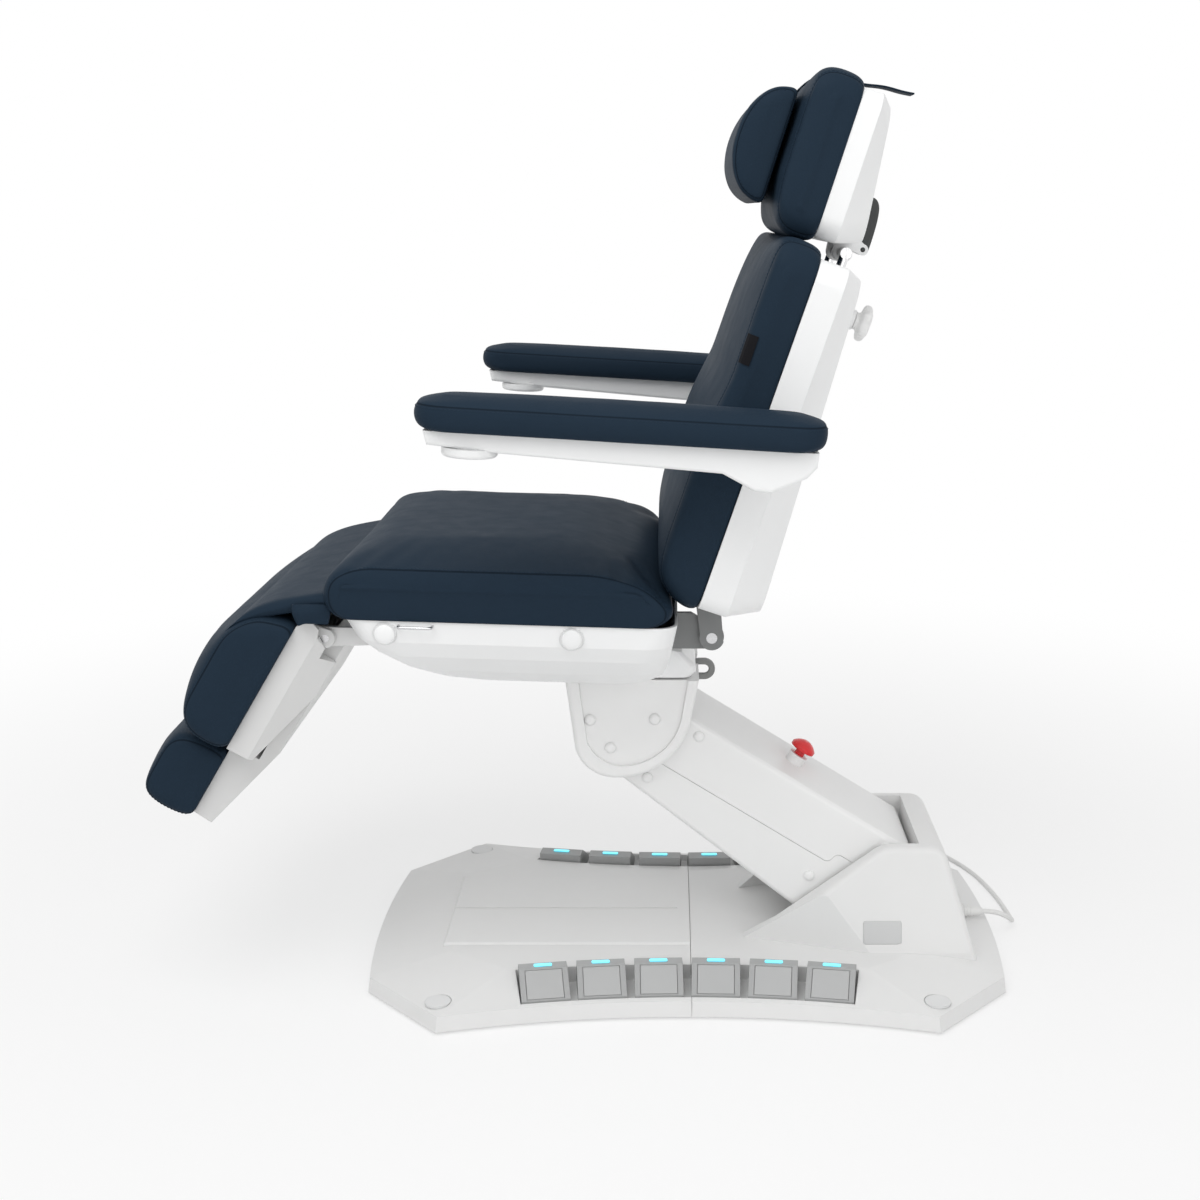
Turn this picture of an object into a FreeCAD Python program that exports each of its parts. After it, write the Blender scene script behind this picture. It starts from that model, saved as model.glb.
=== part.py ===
"""Electric procedure chair: a lift arm on a pedal base carries a swivelling, reclining chair.

Millimetres, +Z up. +X points to the rear of the chair, so the patient faces -X, and -Y is the
patient's left. The origin is on the floor, under the middle of the whole chair.
"""
import FreeCAD
import Part
import Sketcher
import math
import os

V = FreeCAD.Vector
UP = V(0, 0, 1)
ACROSS = V(0, 1, 0)

DIMENSIONS = {
    # Base: an eight-sided cover with bulged ends and waisted sides, on a steel frame
    "base_centre_x": 140.70,
    "base_end_x": 480.0,
    "base_end_y": 202.0,
    "base_end_radius": 1575.0,
    "base_corner_x": 362.0,
    "base_corner_y": 326.0,
    "base_waist_y": 279.0,
    "base_side_radius": 1337.0,
    "cover_floor_gap": 4.0,
    "rim_top_z": 28.0,
    "rim_inset": 3.0,
    "deck_top_z": 46.0,
    "deck_inset": 120.0,
    "cover_split_x": 6.0,
    "cover_split_gap": 0.6,
    "cover_wall": 4.0,
    "frame_plate_z": 6.0,
    "frame_plate_thickness": 8.0,
    "frame_spine_y": 150.0,
    "frame_beam_width": 60.0,
    "frame_beam_y": 308.0,
    "frame_beam_chamfer": 24.0,
    "foot_x": 363.0,
    "foot_y": 284.0,
    "foot_pad_radius": 22.0,
    "foot_cap_radius": 19.0,
    "foot_cap_thickness": 3.0,
    "foot_cap_gap": 0.8,
    "foot_cap_seat_z": 30.0,
    "panel_front_x": -376.0,
    "panel_half_width": 128.0,
    "panel_height": 3.0,
    "groove_length": 370.0,
    "groove_width": 5.0,
    "groove_depth": 1.6,
    "control_box_length": 170.0,
    "control_box_width": 130.0,
    "control_box_height": 22.0,
    "cavity_front_x": -370.0,
    "cavity_half_width": 176.0,
    "cavity_top_z": 38.0,
    # Pedals: six on each side, on an arc that follows the waisted side
    "pedal_pitch": 3.5,
    "pedal_width": 72.0,
    "pedal_inner_y": 190.0,
    "pedal_outer_y": 262.0,
    "pedal_well_gap": 4.0,
    "pedal_well_floor_z": 18.0,
    "pedal_land": 22.0,
    "pedal_top_z": 57.0,
    "pedal_toe_z": 29.0,
    "pedal_pad_width": 54.0,
    "pedal_pad_thickness": 4.5,
    "pedal_pad_gap": 0.6,
    "pedal_pad_travel_room": 6.5,
    "pedal_pin_radius": 1.6,
    "pedal_pin_reach": 4.0,
    "pedal_light_length": 20.0,
    "pedal_light_width": 4.0,
    "pedal_light_depth": 1.5,
    # Tower: two cheeks and a back wall round the foot of the lift arm
    "tower_front_x": 70.0,
    "tower_front_y": 94.0,
    "tower_shoulder_x": 300.0,
    "tower_back_x": 394.0,
    "tower_heel_x": 445.0,
    "tower_top_z": 203.0,
    "tower_foot_y": 158.0,
    "tower_top_y": 122.0,
    "tower_shoulder_radius": 50.0,
    "tower_back_radius": 30.0,
    "tower_edge_radius": 11.0,
    "slot_back_x": 357.0,
    "slot_half_width": 103.0,
    "slot_front_x": 140.0,
    "slot_mouth_y": 76.0,
    "frame_hole_front_x": 225.0,
    "frame_hole_half_width": 72.0,
    # Lift arm and its level link, a parallelogram between the base and the yoke
    "pivot_x": 299.0,
    "pivot_z": 157.0,
    "arm_length": 430.0,
    "arm_rise": 32.1,
    "link_offset_x": -12.0,
    "link_offset_z": -50.0,
    "pivot_pin_radius": 12.0,
    "link_pin_radius": 7.0,
    "running_gap": 0.05,
    "bracket_inner_y": 52.0,
    "bracket_thickness": 8.0,
    "bracket_head_radius": 28.0,
    "bracket_foot_front_x": 245.0,
    "bracket_foot_rear_x": 350.0,
    "bar_inner_y": 66.0,
    "bar_thickness": 10.0,
    "bar_head_radius": 26.0,
    "cross_bar_length": 30.0,
    "cross_bar_height": 40.0,
    "cross_bar_lower": 48.0,
    "cross_bar_setback": 120.0,
    "link_half_width": 14.0,
    "link_head_radius": 13.0,
    "gearmotor_radius": 21.0,
    "gearmotor_length": 190.0,
    "arm_half_width": 95.0,
    "arm_wall": 4.0,
    "arm_top": 52.0,
    "arm_parting": -33.0,
    "arm_parting_gap": 0.6,
    "arm_tail": 30.0,
    "arm_tail_radius": 56.0,
    "arm_tail_step": 8.0,
    "arm_hump_x": 82.0,
    "arm_hump_radius": 10.0,
    "arm_fin_x": 8.0,
    "arm_fin_waist_x": 24.0,
    "arm_fin_waist_depth": -100.0,
    "arm_fin_depth": -60.0,
    "arm_nose_setback": 30.0,
    "arm_edge_radius": 9.0,
    "arm_belly_nose_setback": 12.0,
    "arm_belly_nose_depth": -85.0,
    "arm_belly_tail": 72.0,
    "arm_belly_tail_depth": -124.0,
    "screw_cap_radius": 8.0,
    "screw_cap_height": 2.5,
    "stop_x": 184.5,
    "stop_collar_radius": 15.0,
    "stop_collar_height": 15.0,
    "stop_stem_radius": 8.0,
    "stop_stem_gap": 0.4,
    "stop_head_radius": 20.0,
    "stop_head_height": 15.0,
    "stop_head_clearance": 10.0,
    "stop_travel_room": 12.0,
    # Yoke: a steel fork inside a moulded cover, with the swivel spigot on top
    "yoke_plate_top": 70.0,
    "yoke_plate_thickness": 8.0,
    "swivel_x": -20.0,
    "spigot_radius": 30.0,
    "spigot_height": 34.0,
    "yoke_inner_y": 100.0,
    "yoke_outer_y": 121.0,
    "yoke_wall": 5.0,
    "yoke_top": 83.0,
    "yoke_front_x": -117.0,
    "yoke_rear_x": 83.0,
    "yoke_bottom": -71.0,
    "yoke_bridge_bottom": 42.0,
    "yoke_recess": 5.0,
    "yoke_rim": 16.0,
    "swivel_lever_x": 52.0,
    "swivel_lever_length": 58.0,
    "swivel_lever_width": 34.0,
    "swivel_lever_thickness": 7.0,
    "swivel_lever_drop": 0.6,
    "swivel_lever_slot": 14.0,
    "swivel_lever_rise": 5.0,
    "swivel_lever_window": 27.0,
    "swivel_lever_pin_radius": 5.0,
    # Seat
    "seat_origin_x": -180.0,
    "seat_origin_z": 215.0,
    "seat_pitch": 1.8,
    "seat_front": 256.0,
    "seat_rear": 227.0,
    "seat_overhang": 7.0,
    "seat_cushion_height": 74.0,
    "seat_crown": 13.0,
    "shell_wall": 4.0,
    "shell_front": 229.0,
    "shell_rear": 230.0,
    "shell_half_width": 296.0,
    "shell_rim_height": 31.0,
    "shell_depth": 124.0,
    "shell_cap_radius": 15.0,
    "shell_cap_thickness": 4.0,
    "shell_cap_drop": 18.0,
    "shell_cap_front_x": -169.0,
    "shell_cap_rear_x": 86.0,
    "loop_wire_radius": 2.0,
    "loop_front_x": -150.0,
    "loop_length": 46.0,
    "loop_reach": 12.0,
    "loop_drop": 6.0,
    "hub_plate_z": 99.0,
    "hub_plate_thickness": 7.0,
    "hub_plate_front_x": -130.0,
    "hub_plate_rear_x": -4.0,
    "hub_radius": 44.0,
    "hub_bottom_z": 86.0,
    "hub_top_z": 116.0,
    "hub_hole_radius": 48.0,
    "chin_rear": 262.0,
    "chin_half_width": 118.0,
    "chin_height": 42.0,
    "rail_front_x": -360.0,
    "rail_top_z": 196.0,
    "rail_inner_y": 146.0,
    "rail_thickness": 8.0,
    "knee_plate_inner_y": 236.0,
    "knee_plate_thickness": 8.0,
    "knee_beam_x": -340.0,
    "knee_beam_length": 30.0,
    "knee_beam_height": 22.0,
    "seat_motor_radius": 25.0,
    "seat_motor_front_x": -265.0,
    "seat_motor_rear_x": -40.0,
    "seat_motor_z": 147.0,
    # Back
    "back_hinge_x": 100.0,
    "back_hinge_z": 160.0,
    "back_lean": 18.8,
    "hinge_pin_radius": 8.0,
    "hinge_eye_radius": 18.0,
    "back_rail_gap": 2.0,
    "back_rail_front": -36.0,
    "back_rail_rear": -8.0,
    "back_rail_top": 535.0,
    "back_beam_height": 36.0,
    "back_beam_lower_z": 100.0,
    "back_shell_bottom": 59.0,
    "back_shell_top": 556.0,
    "back_shell_front": -45.0,
    "back_shell_edge": -5.0,
    "back_shell_rear": 47.5,
    "back_shell_slant": 2.9,
    "back_half_width": 290.0,
    "back_shell_rear_inset": 44.0,
    "back_cushion_bottom": 51.0,
    "back_cushion_top": 567.0,
    "back_cushion_thickness": 76.0,
    "back_crown": 15.0,
    "knob_z": 489.0,
    "knob_boss_radius": 15.0,
    "knob_boss_length": 57.0,
    "knob_core_radius": 17.0,
    "knob_lobe_radius": 8.5,
    "knob_lobe_circle": 17.0,
    "knob_thickness": 17.0,
    "knob_gap": 1.0,
    "knob_stem_radius": 5.0,
    # Headrest
    "post_radius": 7.0,
    "post_x": 2.0,
    "post_y": 90.0,
    "post_foot_z": 370.0,
    "head_hinge_z": 575.0,
    "head_tube_radius": 8.0,
    "head_lean": -1.0,
    "head_half_width": 200.0,
    "head_shell_front": -57.0,
    "head_shell_edge": -28.0,
    "head_shell_rear": 14.0,
    "head_shell_slant": 7.0,
    "head_shell_bottom": 7.0,
    "head_shell_top": 212.0,
    "head_shell_rear_inset": 36.0,
    "head_cushion_bottom": -1.0,
    "head_cushion_top": 219.0,
    "head_cushion_thickness": 65.0,
    "head_crown": 13.0,
    "head_lug_y": 40.0,
    "head_lug_width": 16.0,
    "head_notch_half_width": 112.0,
    "head_lever_z": 13.0,
    "head_lever_x": 30.0,
    "head_lever_height": 76.0,
    "head_lever_width": 30.0,
    "head_lever_thickness": 13.0,
    "head_lever_pin_radius": 3.5,
    "head_lever_ear": 6.0,
    "pillow_half_length": 165.0,
    "pillow_bottom": 22.0,
    "pillow_height": 156.0,
    "pillow_depth": 60.0,
    "strap_half_width": 20.0,
    "strap_thickness": 3.0,
    "strap_tail": 66.0,
    # Armrests
    "armrest_x": -16.0,
    "armrest_z": 296.0,
    "armrest_slope": 3.4,
    "armrest_y": 386.0,
    "armrest_front": 464.0,
    "armrest_rear": 54.0,
    "armrest_pad_half_width": 49.0,
    "armrest_pad_bottom": 24.0,
    "armrest_pad_thickness": 51.0,
    "armrest_support_half_width": 29.0,
    "armrest_disc_x": 396.0,
    "armrest_disc_radius": 36.0,
    "armrest_disc_bottom": -9.0,
    "armrest_boss_radius": 22.0,
    "armrest_boss_gap": 3.0,
    "armrest_shaft_radius": 10.0,
    # Leg rest and sliding footrest
    "knee_x": -441.0,
    "knee_z": 184.0,
    "leg_drop": 58.7,
    "knee_pin_radius": 6.0,
    "knee_eye_radius": 14.0,
    "leg_half_width": 285.0,
    "leg_tray_half_width": 270.0,
    "leg_tray_wall": 5.0,
    "leg_tray_top": 41.0,
    "leg_tray_length": 207.0,
    "leg_tray_fold": 8.0,
    "leg_tray_depth": -29.0,
    "leg_tray_bevel": 31.0,
    "leg_tray_cut": 120.0,
    "leg_cushion_height": 84.0,
    "leg_crown": 16.0,
    "foot_half_width": 245.0,
    "carriage_half_width": 230.0,
    "carriage_depth": 23.0,
    "carriage_top": -4.0,
    "carriage_length": 336.0,
    "carriage_step": 215.0,
    "carriage_shelf": 39.0,
    "foot_cushion_length": 118.0,
    "foot_cushion_height": 76.0,
    "foot_crown": 7.0,
    "guide_rod_radius": 6.0,
    "guide_rod_y": 155.0,
    "guide_rod_z": 15.0,
    "guide_rod_length": 185.0,
    # Mains lead
    "cord_radius": 4.0,
    "cord_exit_z": 43.5,
    "gland_half_width": 20.0,
    "gland_bottom": 35.6,
    "gland_height": 30.0,
    "gland_rear_x": 451.0,
    "boot_length": 26.0,
    "boot_radius": 7.5,
    "coil_x": 390.0,
    "coil_y": 402.0,
    "coil_inner_radius": 28.0,
    "coil_turns_per_layer": 3.5,
    "coil_step": 8.7,
    "plug_length": 44.0,
}

doc = FreeCAD.newDocument("procedure_chair")
sheet = doc.addObject("Spreadsheet::Sheet", "dims")
for row, (alias, number) in enumerate(DIMENSIONS.items(), start=1):
    sheet.set(f"A{row}", alias)
    sheet.set(f"B{row}", str(number))
    sheet.setAlias(f"B{row}", alias)
doc.recompute()


class Size:
    """A length or an angle: its number, and the expression that ties it to the sheet."""

    def __init__(self, value, text):
        self.value = value
        self.text = text

    def __add__(self, other):
        other = size(other)
        return Size(self.value + other.value, f"({self.text} + {other.text})")

    def __radd__(self, other):
        return size(other) + self

    def __sub__(self, other):
        other = size(other)
        return Size(self.value - other.value, f"({self.text} - {other.text})")

    def __rsub__(self, other):
        return size(other) - self

    def __mul__(self, other):
        other = size(other)
        return Size(self.value * other.value, f"({self.text} * {other.text})")

    def __rmul__(self, other):
        return size(other) * self

    def __truediv__(self, other):
        other = size(other)
        return Size(self.value / other.value, f"({self.text} / {other.text})")

    def __neg__(self):
        return Size(-self.value, f"(-1 * {self.text})")


def size(thing):
    return thing if isinstance(thing, Size) else Size(float(thing), repr(float(thing)))


def sine(angle):
    return Size(math.sin(math.radians(angle.value)), f"sin({angle.text})")


def cosine(angle):
    return Size(math.cos(math.radians(angle.value)), f"cos({angle.text})")


class Dims:
    """The sheet's cells, by their aliases."""

    def __getattr__(self, alias):
        return Size(float(sheet.get(alias)), f"dims.{alias}")


d = Dims()


class Frame:
    """A place on the chair, turned about an axis that runs across it."""

    def __init__(self, x, z, angle, y=0):
        self.x = size(x)
        self.y = size(y)
        self.z = size(z)
        self.angle = size(angle)

    def point(self, x, z):
        x, z = size(x), size(z)
        turn_cos, turn_sin = cosine(self.angle), sine(self.angle)
        return self.x + x * turn_cos + z * turn_sin, self.z - x * turn_sin + z * turn_cos

    def child(self, x, z, angle):
        place_x, place_z = self.point(x, z)
        return Frame(place_x, place_z, angle)

    def hold(self, item):
        item.Placement = FreeCAD.Placement(V(), FreeCAD.Rotation(ACROSS, 10))
        item.setExpression("Placement.Base.x", self.x.text)
        item.setExpression("Placement.Base.y", self.y.text)
        item.setExpression("Placement.Base.z", self.z.text)
        item.setExpression("Placement.Rotation.Angle", f"{self.angle.text} * 1 deg")

    def placement(self):
        turn = FreeCAD.Rotation(ACROSS, self.angle.value)
        return FreeCAD.Placement(V(self.x.value, self.y.value, self.z.value), turn)


# Frames: each group of pieces is drawn about the pivot that carries it
BASE = Frame(d.base_centre_x, 0, 0)
ARM = BASE.child(d.pivot_x, d.pivot_z, d.arm_rise)
LINK = BASE.child(d.pivot_x + d.link_offset_x, d.pivot_z + d.link_offset_z, d.arm_rise)
TOP = Frame(*ARM.point(-d.arm_length, 0), 0)
SEAT = TOP.child(d.seat_origin_x, d.seat_origin_z, d.seat_pitch)
BACK = TOP.child(d.back_hinge_x, d.back_hinge_z, d.back_lean)
HEAD = BACK.child(d.post_x, d.head_hinge_z, d.back_lean + d.head_lean)
ARMREST = BACK.child(d.armrest_x, d.armrest_z, d.armrest_slope)
LEG = TOP.child(d.knee_x, d.knee_z, -d.leg_drop)

sub_parts = []


def new_body(label, frame):
    body = doc.addObject("PartDesign::Body", label)
    body.Label = label
    body.AllowCompound = True
    frame.hold(body)
    sub_parts.append(body)
    return body


def origin_feature(body, role):
    return next(item for item in body.Origin.OriginFeatures if item.Role == role)


def arc_between(start, end, radius):
    """The short arc from start to end; its centre is on the left where radius is positive."""
    chord = end - start
    left = V(-chord.y, chord.x, 0).normalize()
    reach = math.sqrt(max(radius ** 2 - (chord.Length / 2) ** 2, 0))
    centre = (start + end) * 0.5 + left * (reach if radius > 0 else -reach)
    first, last = (start, end) if radius > 0 else (end, start)
    angles = [math.atan2(point.y - centre.y, point.x - centre.x) for point in (first, last)]
    if angles[1] < angles[0]:
        angles[1] += 2 * math.pi
    return Part.ArcOfCircle(Part.Circle(centre, UP, abs(radius)), *angles)


def tie(sketch, geometry, vertex, x, y):
    """Fix one vertex of a sketch at x and y."""
    for axis, kind, value in ((-2, "DistanceX", x), (-1, "DistanceY", y)):
        if value.value == 0:
            sketch.addConstraint(Sketcher.Constraint("PointOnObject", geometry, vertex, axis))
            continue
        rule = Sketcher.Constraint(kind, -1, 1, geometry, vertex, value.value)
        index = sketch.addConstraint(rule)
        sketch.setExpression(f"Constraints[{index}]", value.text)


def add_circle(sketch, x, y, radius):
    circle = Part.Circle(V(x.value, y.value, 0), UP, radius.value)
    geometry = sketch.addGeometry(circle, False)
    tie(sketch, geometry, 3, x, y)
    index = sketch.addConstraint(Sketcher.Constraint("Radius", geometry, radius.value))
    sketch.setExpression(f"Constraints[{index}]", radius.text)


def add_outline(sketch, loop):
    """A closed loop of vertices. A vertex with a third size starts an arc of that radius."""
    vertices = [tuple(size(item) for item in vertex) for vertex in loop]
    ends = []
    for index, vertex in enumerate(vertices):
        follower = vertices[(index + 1) % len(vertices)]
        start = V(vertex[0].value, vertex[1].value, 0)
        end = V(follower[0].value, follower[1].value, 0)
        if len(vertex) == 2:
            ends.append((sketch.addGeometry(Part.LineSegment(start, end), False), 1, 2))
            continue
        turns_left = vertex[2].value > 0
        geometry = sketch.addGeometry(arc_between(start, end, vertex[2].value), False)
        ends.append((geometry, 1, 2) if turns_left else (geometry, 2, 1))
    for index, (geometry, _, last) in enumerate(ends):
        following, first, _ = ends[(index + 1) % len(ends)]
        sketch.addConstraint(Sketcher.Constraint("Coincident", geometry, last, following, first))
    for vertex, (geometry, first, _) in zip(vertices, ends):
        tie(sketch, geometry, first, vertex[0], vertex[1])
        if len(vertex) == 3:
            radius = vertex[2] if vertex[2].value > 0 else -vertex[2]
            index = sketch.addConstraint(Sketcher.Constraint("Radius", geometry, radius.value))
            sketch.setExpression(f"Constraints[{index}]", radius.text)


def draw(body, plane, loops, level=0, tilt=None):
    """A sketch on one of the body's own planes, moved along its normal, and tilted about its X."""
    sketch = body.newObject("Sketcher::SketchObject", f"{body.Name}_outline")
    sketch.AttachmentSupport = [(origin_feature(body, f"{plane}_Plane"), "")]
    sketch.MapMode = "FlatFace"
    if tilt is not None:
        sketch.AttachmentOffset = FreeCAD.Placement(V(), FreeCAD.Rotation(V(1, 0, 0), 1))
        sketch.setExpression("AttachmentOffset.Rotation.Angle", f"{tilt.text} * 1 deg")
    sketch.setExpression("AttachmentOffset.Base.z", size(level).text)
    for loop in loops:
        if loop[0] == "circle":
            add_circle(sketch, *(size(item) for item in loop[1:]))
        else:
            add_outline(sketch, loop)
    return sketch


def extrude(body, kind, plane, loops, length, level=0, both=False, reverse=False):
    sketch = draw(body, plane, loops, level)
    feature = body.newObject(f"PartDesign::{kind}", f"{body.Name}_{kind.lower()}")
    feature.Profile = sketch
    feature.SideType = "Symmetric" if both else "One side"
    feature.Reversed = reverse
    feature.setExpression("Length", size(length).text)
    doc.recompute()
    return feature


def pad(body, plane, loops, length, **options):
    return extrude(body, "Pad", plane, loops, length, **options)


def pocket(body, plane, loops, length, **options):
    return extrude(body, "Pocket", plane, loops, length, **options)


def loft(body, kind, plane, sections, ruled=False):
    """A loft through outlines at their levels: (level, loop) or (level, loop, tilt)."""
    sketches = [draw(body, plane, [item[1]], item[0], *item[2:]) for item in sections]
    feature = body.newObject(f"PartDesign::{kind}Loft", f"{body.Name}_loft")
    feature.Profile = sketches[0]
    feature.Sections = sketches[1:]
    feature.Ruled = ruled
    doc.recompute()
    return feature


def revolve(body, loop):
    """A solid turned about the body's Z axis from an outline in its XZ plane."""
    sketch = draw(body, "XZ", [loop])
    feature = body.newObject("PartDesign::Revolution", f"{body.Name}_turned")
    feature.Profile = sketch
    feature.ReferenceAxis = (sketch, ["V_Axis"])
    feature.Angle = 360
    doc.recompute()
    return feature


def mirror(body, features, role="XZ_Plane"):
    feature = body.newObject("PartDesign::Mirrored", f"{body.Name}_mirrored")
    feature.Originals = features
    feature.MirrorPlane = (origin_feature(body, role), [""])
    body.Tip = feature
    doc.recompute()
    return feature


def polar(body, features, count, span, role="Z_Axis"):
    feature = body.newObject("PartDesign::PolarPattern", f"{body.Name}_pattern")
    feature.Originals = features
    feature.Axis = (origin_feature(body, role), [""])
    feature.Occurrences = count
    feature.setExpression("Angle", f"{span.text} * 1 deg")
    body.Tip = feature
    doc.recompute()
    return feature


def soften(body, kind, radius, wanted):
    """Fillet or chamfer the edges for which wanted(middle, edge) holds, in the body's own frame."""
    names = []
    base = body.Tip
    for index, edge in enumerate(base.Shape.Edges, start=1):
        if wanted(edge.CenterOfMass, edge):
            names.append(f"Edge{index}")
    feature = body.newObject(f"PartDesign::{kind}", f"{body.Name}_{kind.lower()}")
    feature.Base = (base, names)
    feature.setExpression("Radius" if kind == "Fillet" else "Size", size(radius).text)
    doc.recompute()
    return feature


def near(value, target, slack=0.6):
    return abs(value - size(target).value) < slack


def runs_along(edge, direction):
    if edge.Length < 1e-6 or not isinstance(edge.Curve, (Part.Line, Part.LineSegment)):
        return False
    return abs(edge.tangentAt(edge.FirstParameter).dot(direction)) > 0.999


def rectangle(x0, x1, y0, y1):
    return [(x0, y0), (x1, y0), (x1, y1), (x0, y1)]


def rounded(x0, x1, half, radius):
    """A rounded rectangle, centred on the X axis of its sketch."""
    x0, x1, half, radius = (size(item) for item in (x0, x1, half, radius))
    return [
        (x0 + radius, -half), (x1 - radius, -half, radius), (x1, radius - half),
        (x1, half - radius, radius),
        (x1 - radius, half), (x0 + radius, half, radius), (x0, half - radius), (x0, radius - half, radius),
    ]


def upright(loop):
    """The same loop with its two directions changed over, still counter-clockwise."""
    swapped = [(vertex[1], vertex[0]) + tuple(vertex[2:]) for vertex in loop]
    corners = [vertex[:2] for vertex in swapped]
    radii = [vertex[2:] for vertex in swapped]
    count = len(corners)
    return [corners[-index % count] + radii[(-index - 1) % count] for index in range(count)]


def stadium(x0, x1, z, radius):
    """A bar with round ends, from x0 to x1 between the centres of its ends."""
    x0, x1, z, radius = (size(item) for item in (x0, x1, z, radius))
    return [
        (x0, z - radius), (x1, z - radius, radius), (x1 + radius, z, radius),
        (x1, z + radius), (x0, z + radius, radius), (x0 - radius, z, radius),
    ]


def cylinder(radius, height, x, y, z, axis=UP):
    """A free cylinder, to be joined into a sub-part with others."""
    item = doc.addObject("Part::Cylinder", "round")
    item.setExpression("Radius", size(radius).text)
    item.setExpression("Height", size(height).text)
    item.Placement = FreeCAD.Placement(V(), FreeCAD.Rotation(UP, axis))
    for name, place in zip("xyz", (x, y, z)):
        item.setExpression(f"Placement.Base.{name}", size(place).text)
    return item


def group(label, items, frame):
    """Separate solids that share one node."""
    item = doc.addObject("Part::Compound", label)
    item.Label = label
    item.Links = items
    frame.hold(item)
    sub_parts.append(item)
    doc.recompute()
    return item


def feature(label, shape, frame):
    item = doc.addObject("Part::Feature", label)
    item.Label = label
    item.Shape = shape
    item.Placement = frame.placement()
    sub_parts.append(item)
    return item


# Base

def base_outline(inset, front):
    """Half of the base's outline, drawn in by inset, on the front or the rear of the split."""
    inset = size(inset)
    side = -1 if front else 1
    split = d.cover_split_x + d.cover_split_gap * (side / 2)
    waist = d.base_waist_y - inset
    corner_x = side * (d.base_corner_x - inset * 0.75)
    corner_y = d.base_corner_y - inset
    end_x = side * (d.base_end_x - inset)
    end_y = d.base_end_y - inset * 0.45
    side_radius = -(d.base_side_radius + inset)
    loop = [
        (split, -waist, side_radius), (corner_x, -corner_y), (end_x, -end_y, d.base_end_radius - inset),
        (end_x, end_y), (corner_x, corner_y, side_radius), (split, waist),
    ]
    if not front:
        return loop
    corners = [vertex[:2] for vertex in reversed(loop)]
    radii = [side_radius, None, d.base_end_radius - inset, None, side_radius, None]
    return [corner if radius is None else corner + (radius,) for corner, radius in zip(corners, radii)]


def arc_point(radius, angle):
    """A point on a pedal arc of the left side, seen from the base's centre."""
    centre_y = -(d.base_waist_y + d.base_side_radius)
    return sine(angle) * radius, centre_y + cosine(angle) * radius


def pedal_well(side):
    """The long well of six pedals, a stretch of ring; side is -1 on the patient's left."""
    ring = d.base_waist_y + d.base_side_radius
    inner = ring - d.pedal_inner_y + d.pedal_well_gap
    outer = ring - d.pedal_outer_y - d.pedal_well_gap
    reach = d.pedal_pitch * 2.5 + (d.pedal_width / 2 + d.pedal_well_gap) / inner * (180 / math.pi)
    corners = [arc_point(outer, -reach), arc_point(outer, reach), arc_point(inner, reach),
               arc_point(inner, -reach)]
    if side < 0:
        return [corners[3] + (-inner,), corners[2], corners[1] + (outer,), corners[0]]
    flipped = [(x, -y) for x, y in corners]
    return [flipped[0] + (outer,), flipped[1], flipped[2] + (-inner,), flipped[3]]


def base_cover(label, front):
    body = new_body(label, BASE)
    loft(body, "Additive", "XY", [
        (d.cover_floor_gap, base_outline(0, front)),
        (d.rim_top_z, base_outline(d.rim_inset, front)),
        (d.deck_top_z, base_outline(d.deck_inset, front)),
    ], ruled=True)
    wall = d.cover_wall
    shallow = d.frame_plate_z + d.frame_plate_thickness - d.cover_floor_gap + d.cover_split_gap
    side = -1 if front else 1
    beam_inner = d.foot_x - d.frame_beam_width / 2 - wall
    beam_outer = d.foot_x + d.frame_beam_width / 2 + wall
    split = d.cover_split_x
    spine = d.frame_spine_y + wall
    beam = d.frame_beam_y + wall
    inner, outer = side * beam_inner, side * beam_outer
    corner = d.frame_beam_chamfer + wall * 1.5
    corner_x, corner_y = outer - side * corner, beam - corner
    plate_room = [
        (split, -spine), (inner, -spine), (inner, -beam), (corner_x, -beam), (outer, -corner_y),
        (outer, corner_y), (corner_x, beam), (inner, beam), (inner, spine), (split, spine),
    ]
    pocket(body, "XY", [plate_room if not front else plate_room[::-1]], shallow,
           level=d.cover_floor_gap, reverse=True)
    caps = [("circle", side * d.foot_x, y, d.foot_cap_radius + d.foot_cap_gap)
            for y in (-d.foot_y, d.foot_y)]
    pocket(body, "XY", caps, d.deck_top_z, level=d.foot_cap_seat_z + d.deck_top_z)
    return body


base_cover_front = base_cover("base_cover_front", True)
pad(base_cover_front, "XY",
    [rectangle(d.panel_front_x, d.cover_split_x - d.cover_split_gap / 2, -d.panel_half_width,
               d.panel_half_width)],
    d.panel_height + d.deck_top_z - d.cavity_top_z, level=d.cavity_top_z)
soften(base_cover_front, "Chamfer", d.panel_height * 0.9,
       lambda middle, edge: near(middle.z, d.deck_top_z + d.panel_height, 0.1)
       and middle.x < d.cover_split_x.value - 5)
pocket(base_cover_front, "XY", [stadium(-d.groove_length - 16, -size(16), 0, d.groove_width / 2)],
       d.groove_depth,
       level=d.deck_top_z + d.panel_height)
pocket(base_cover_front, "XY",
       [rectangle(d.cavity_front_x, d.cover_split_x, -d.cavity_half_width, d.cavity_half_width)],
       d.cavity_top_z - d.frame_plate_z, level=d.frame_plate_z, reverse=True)

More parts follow.
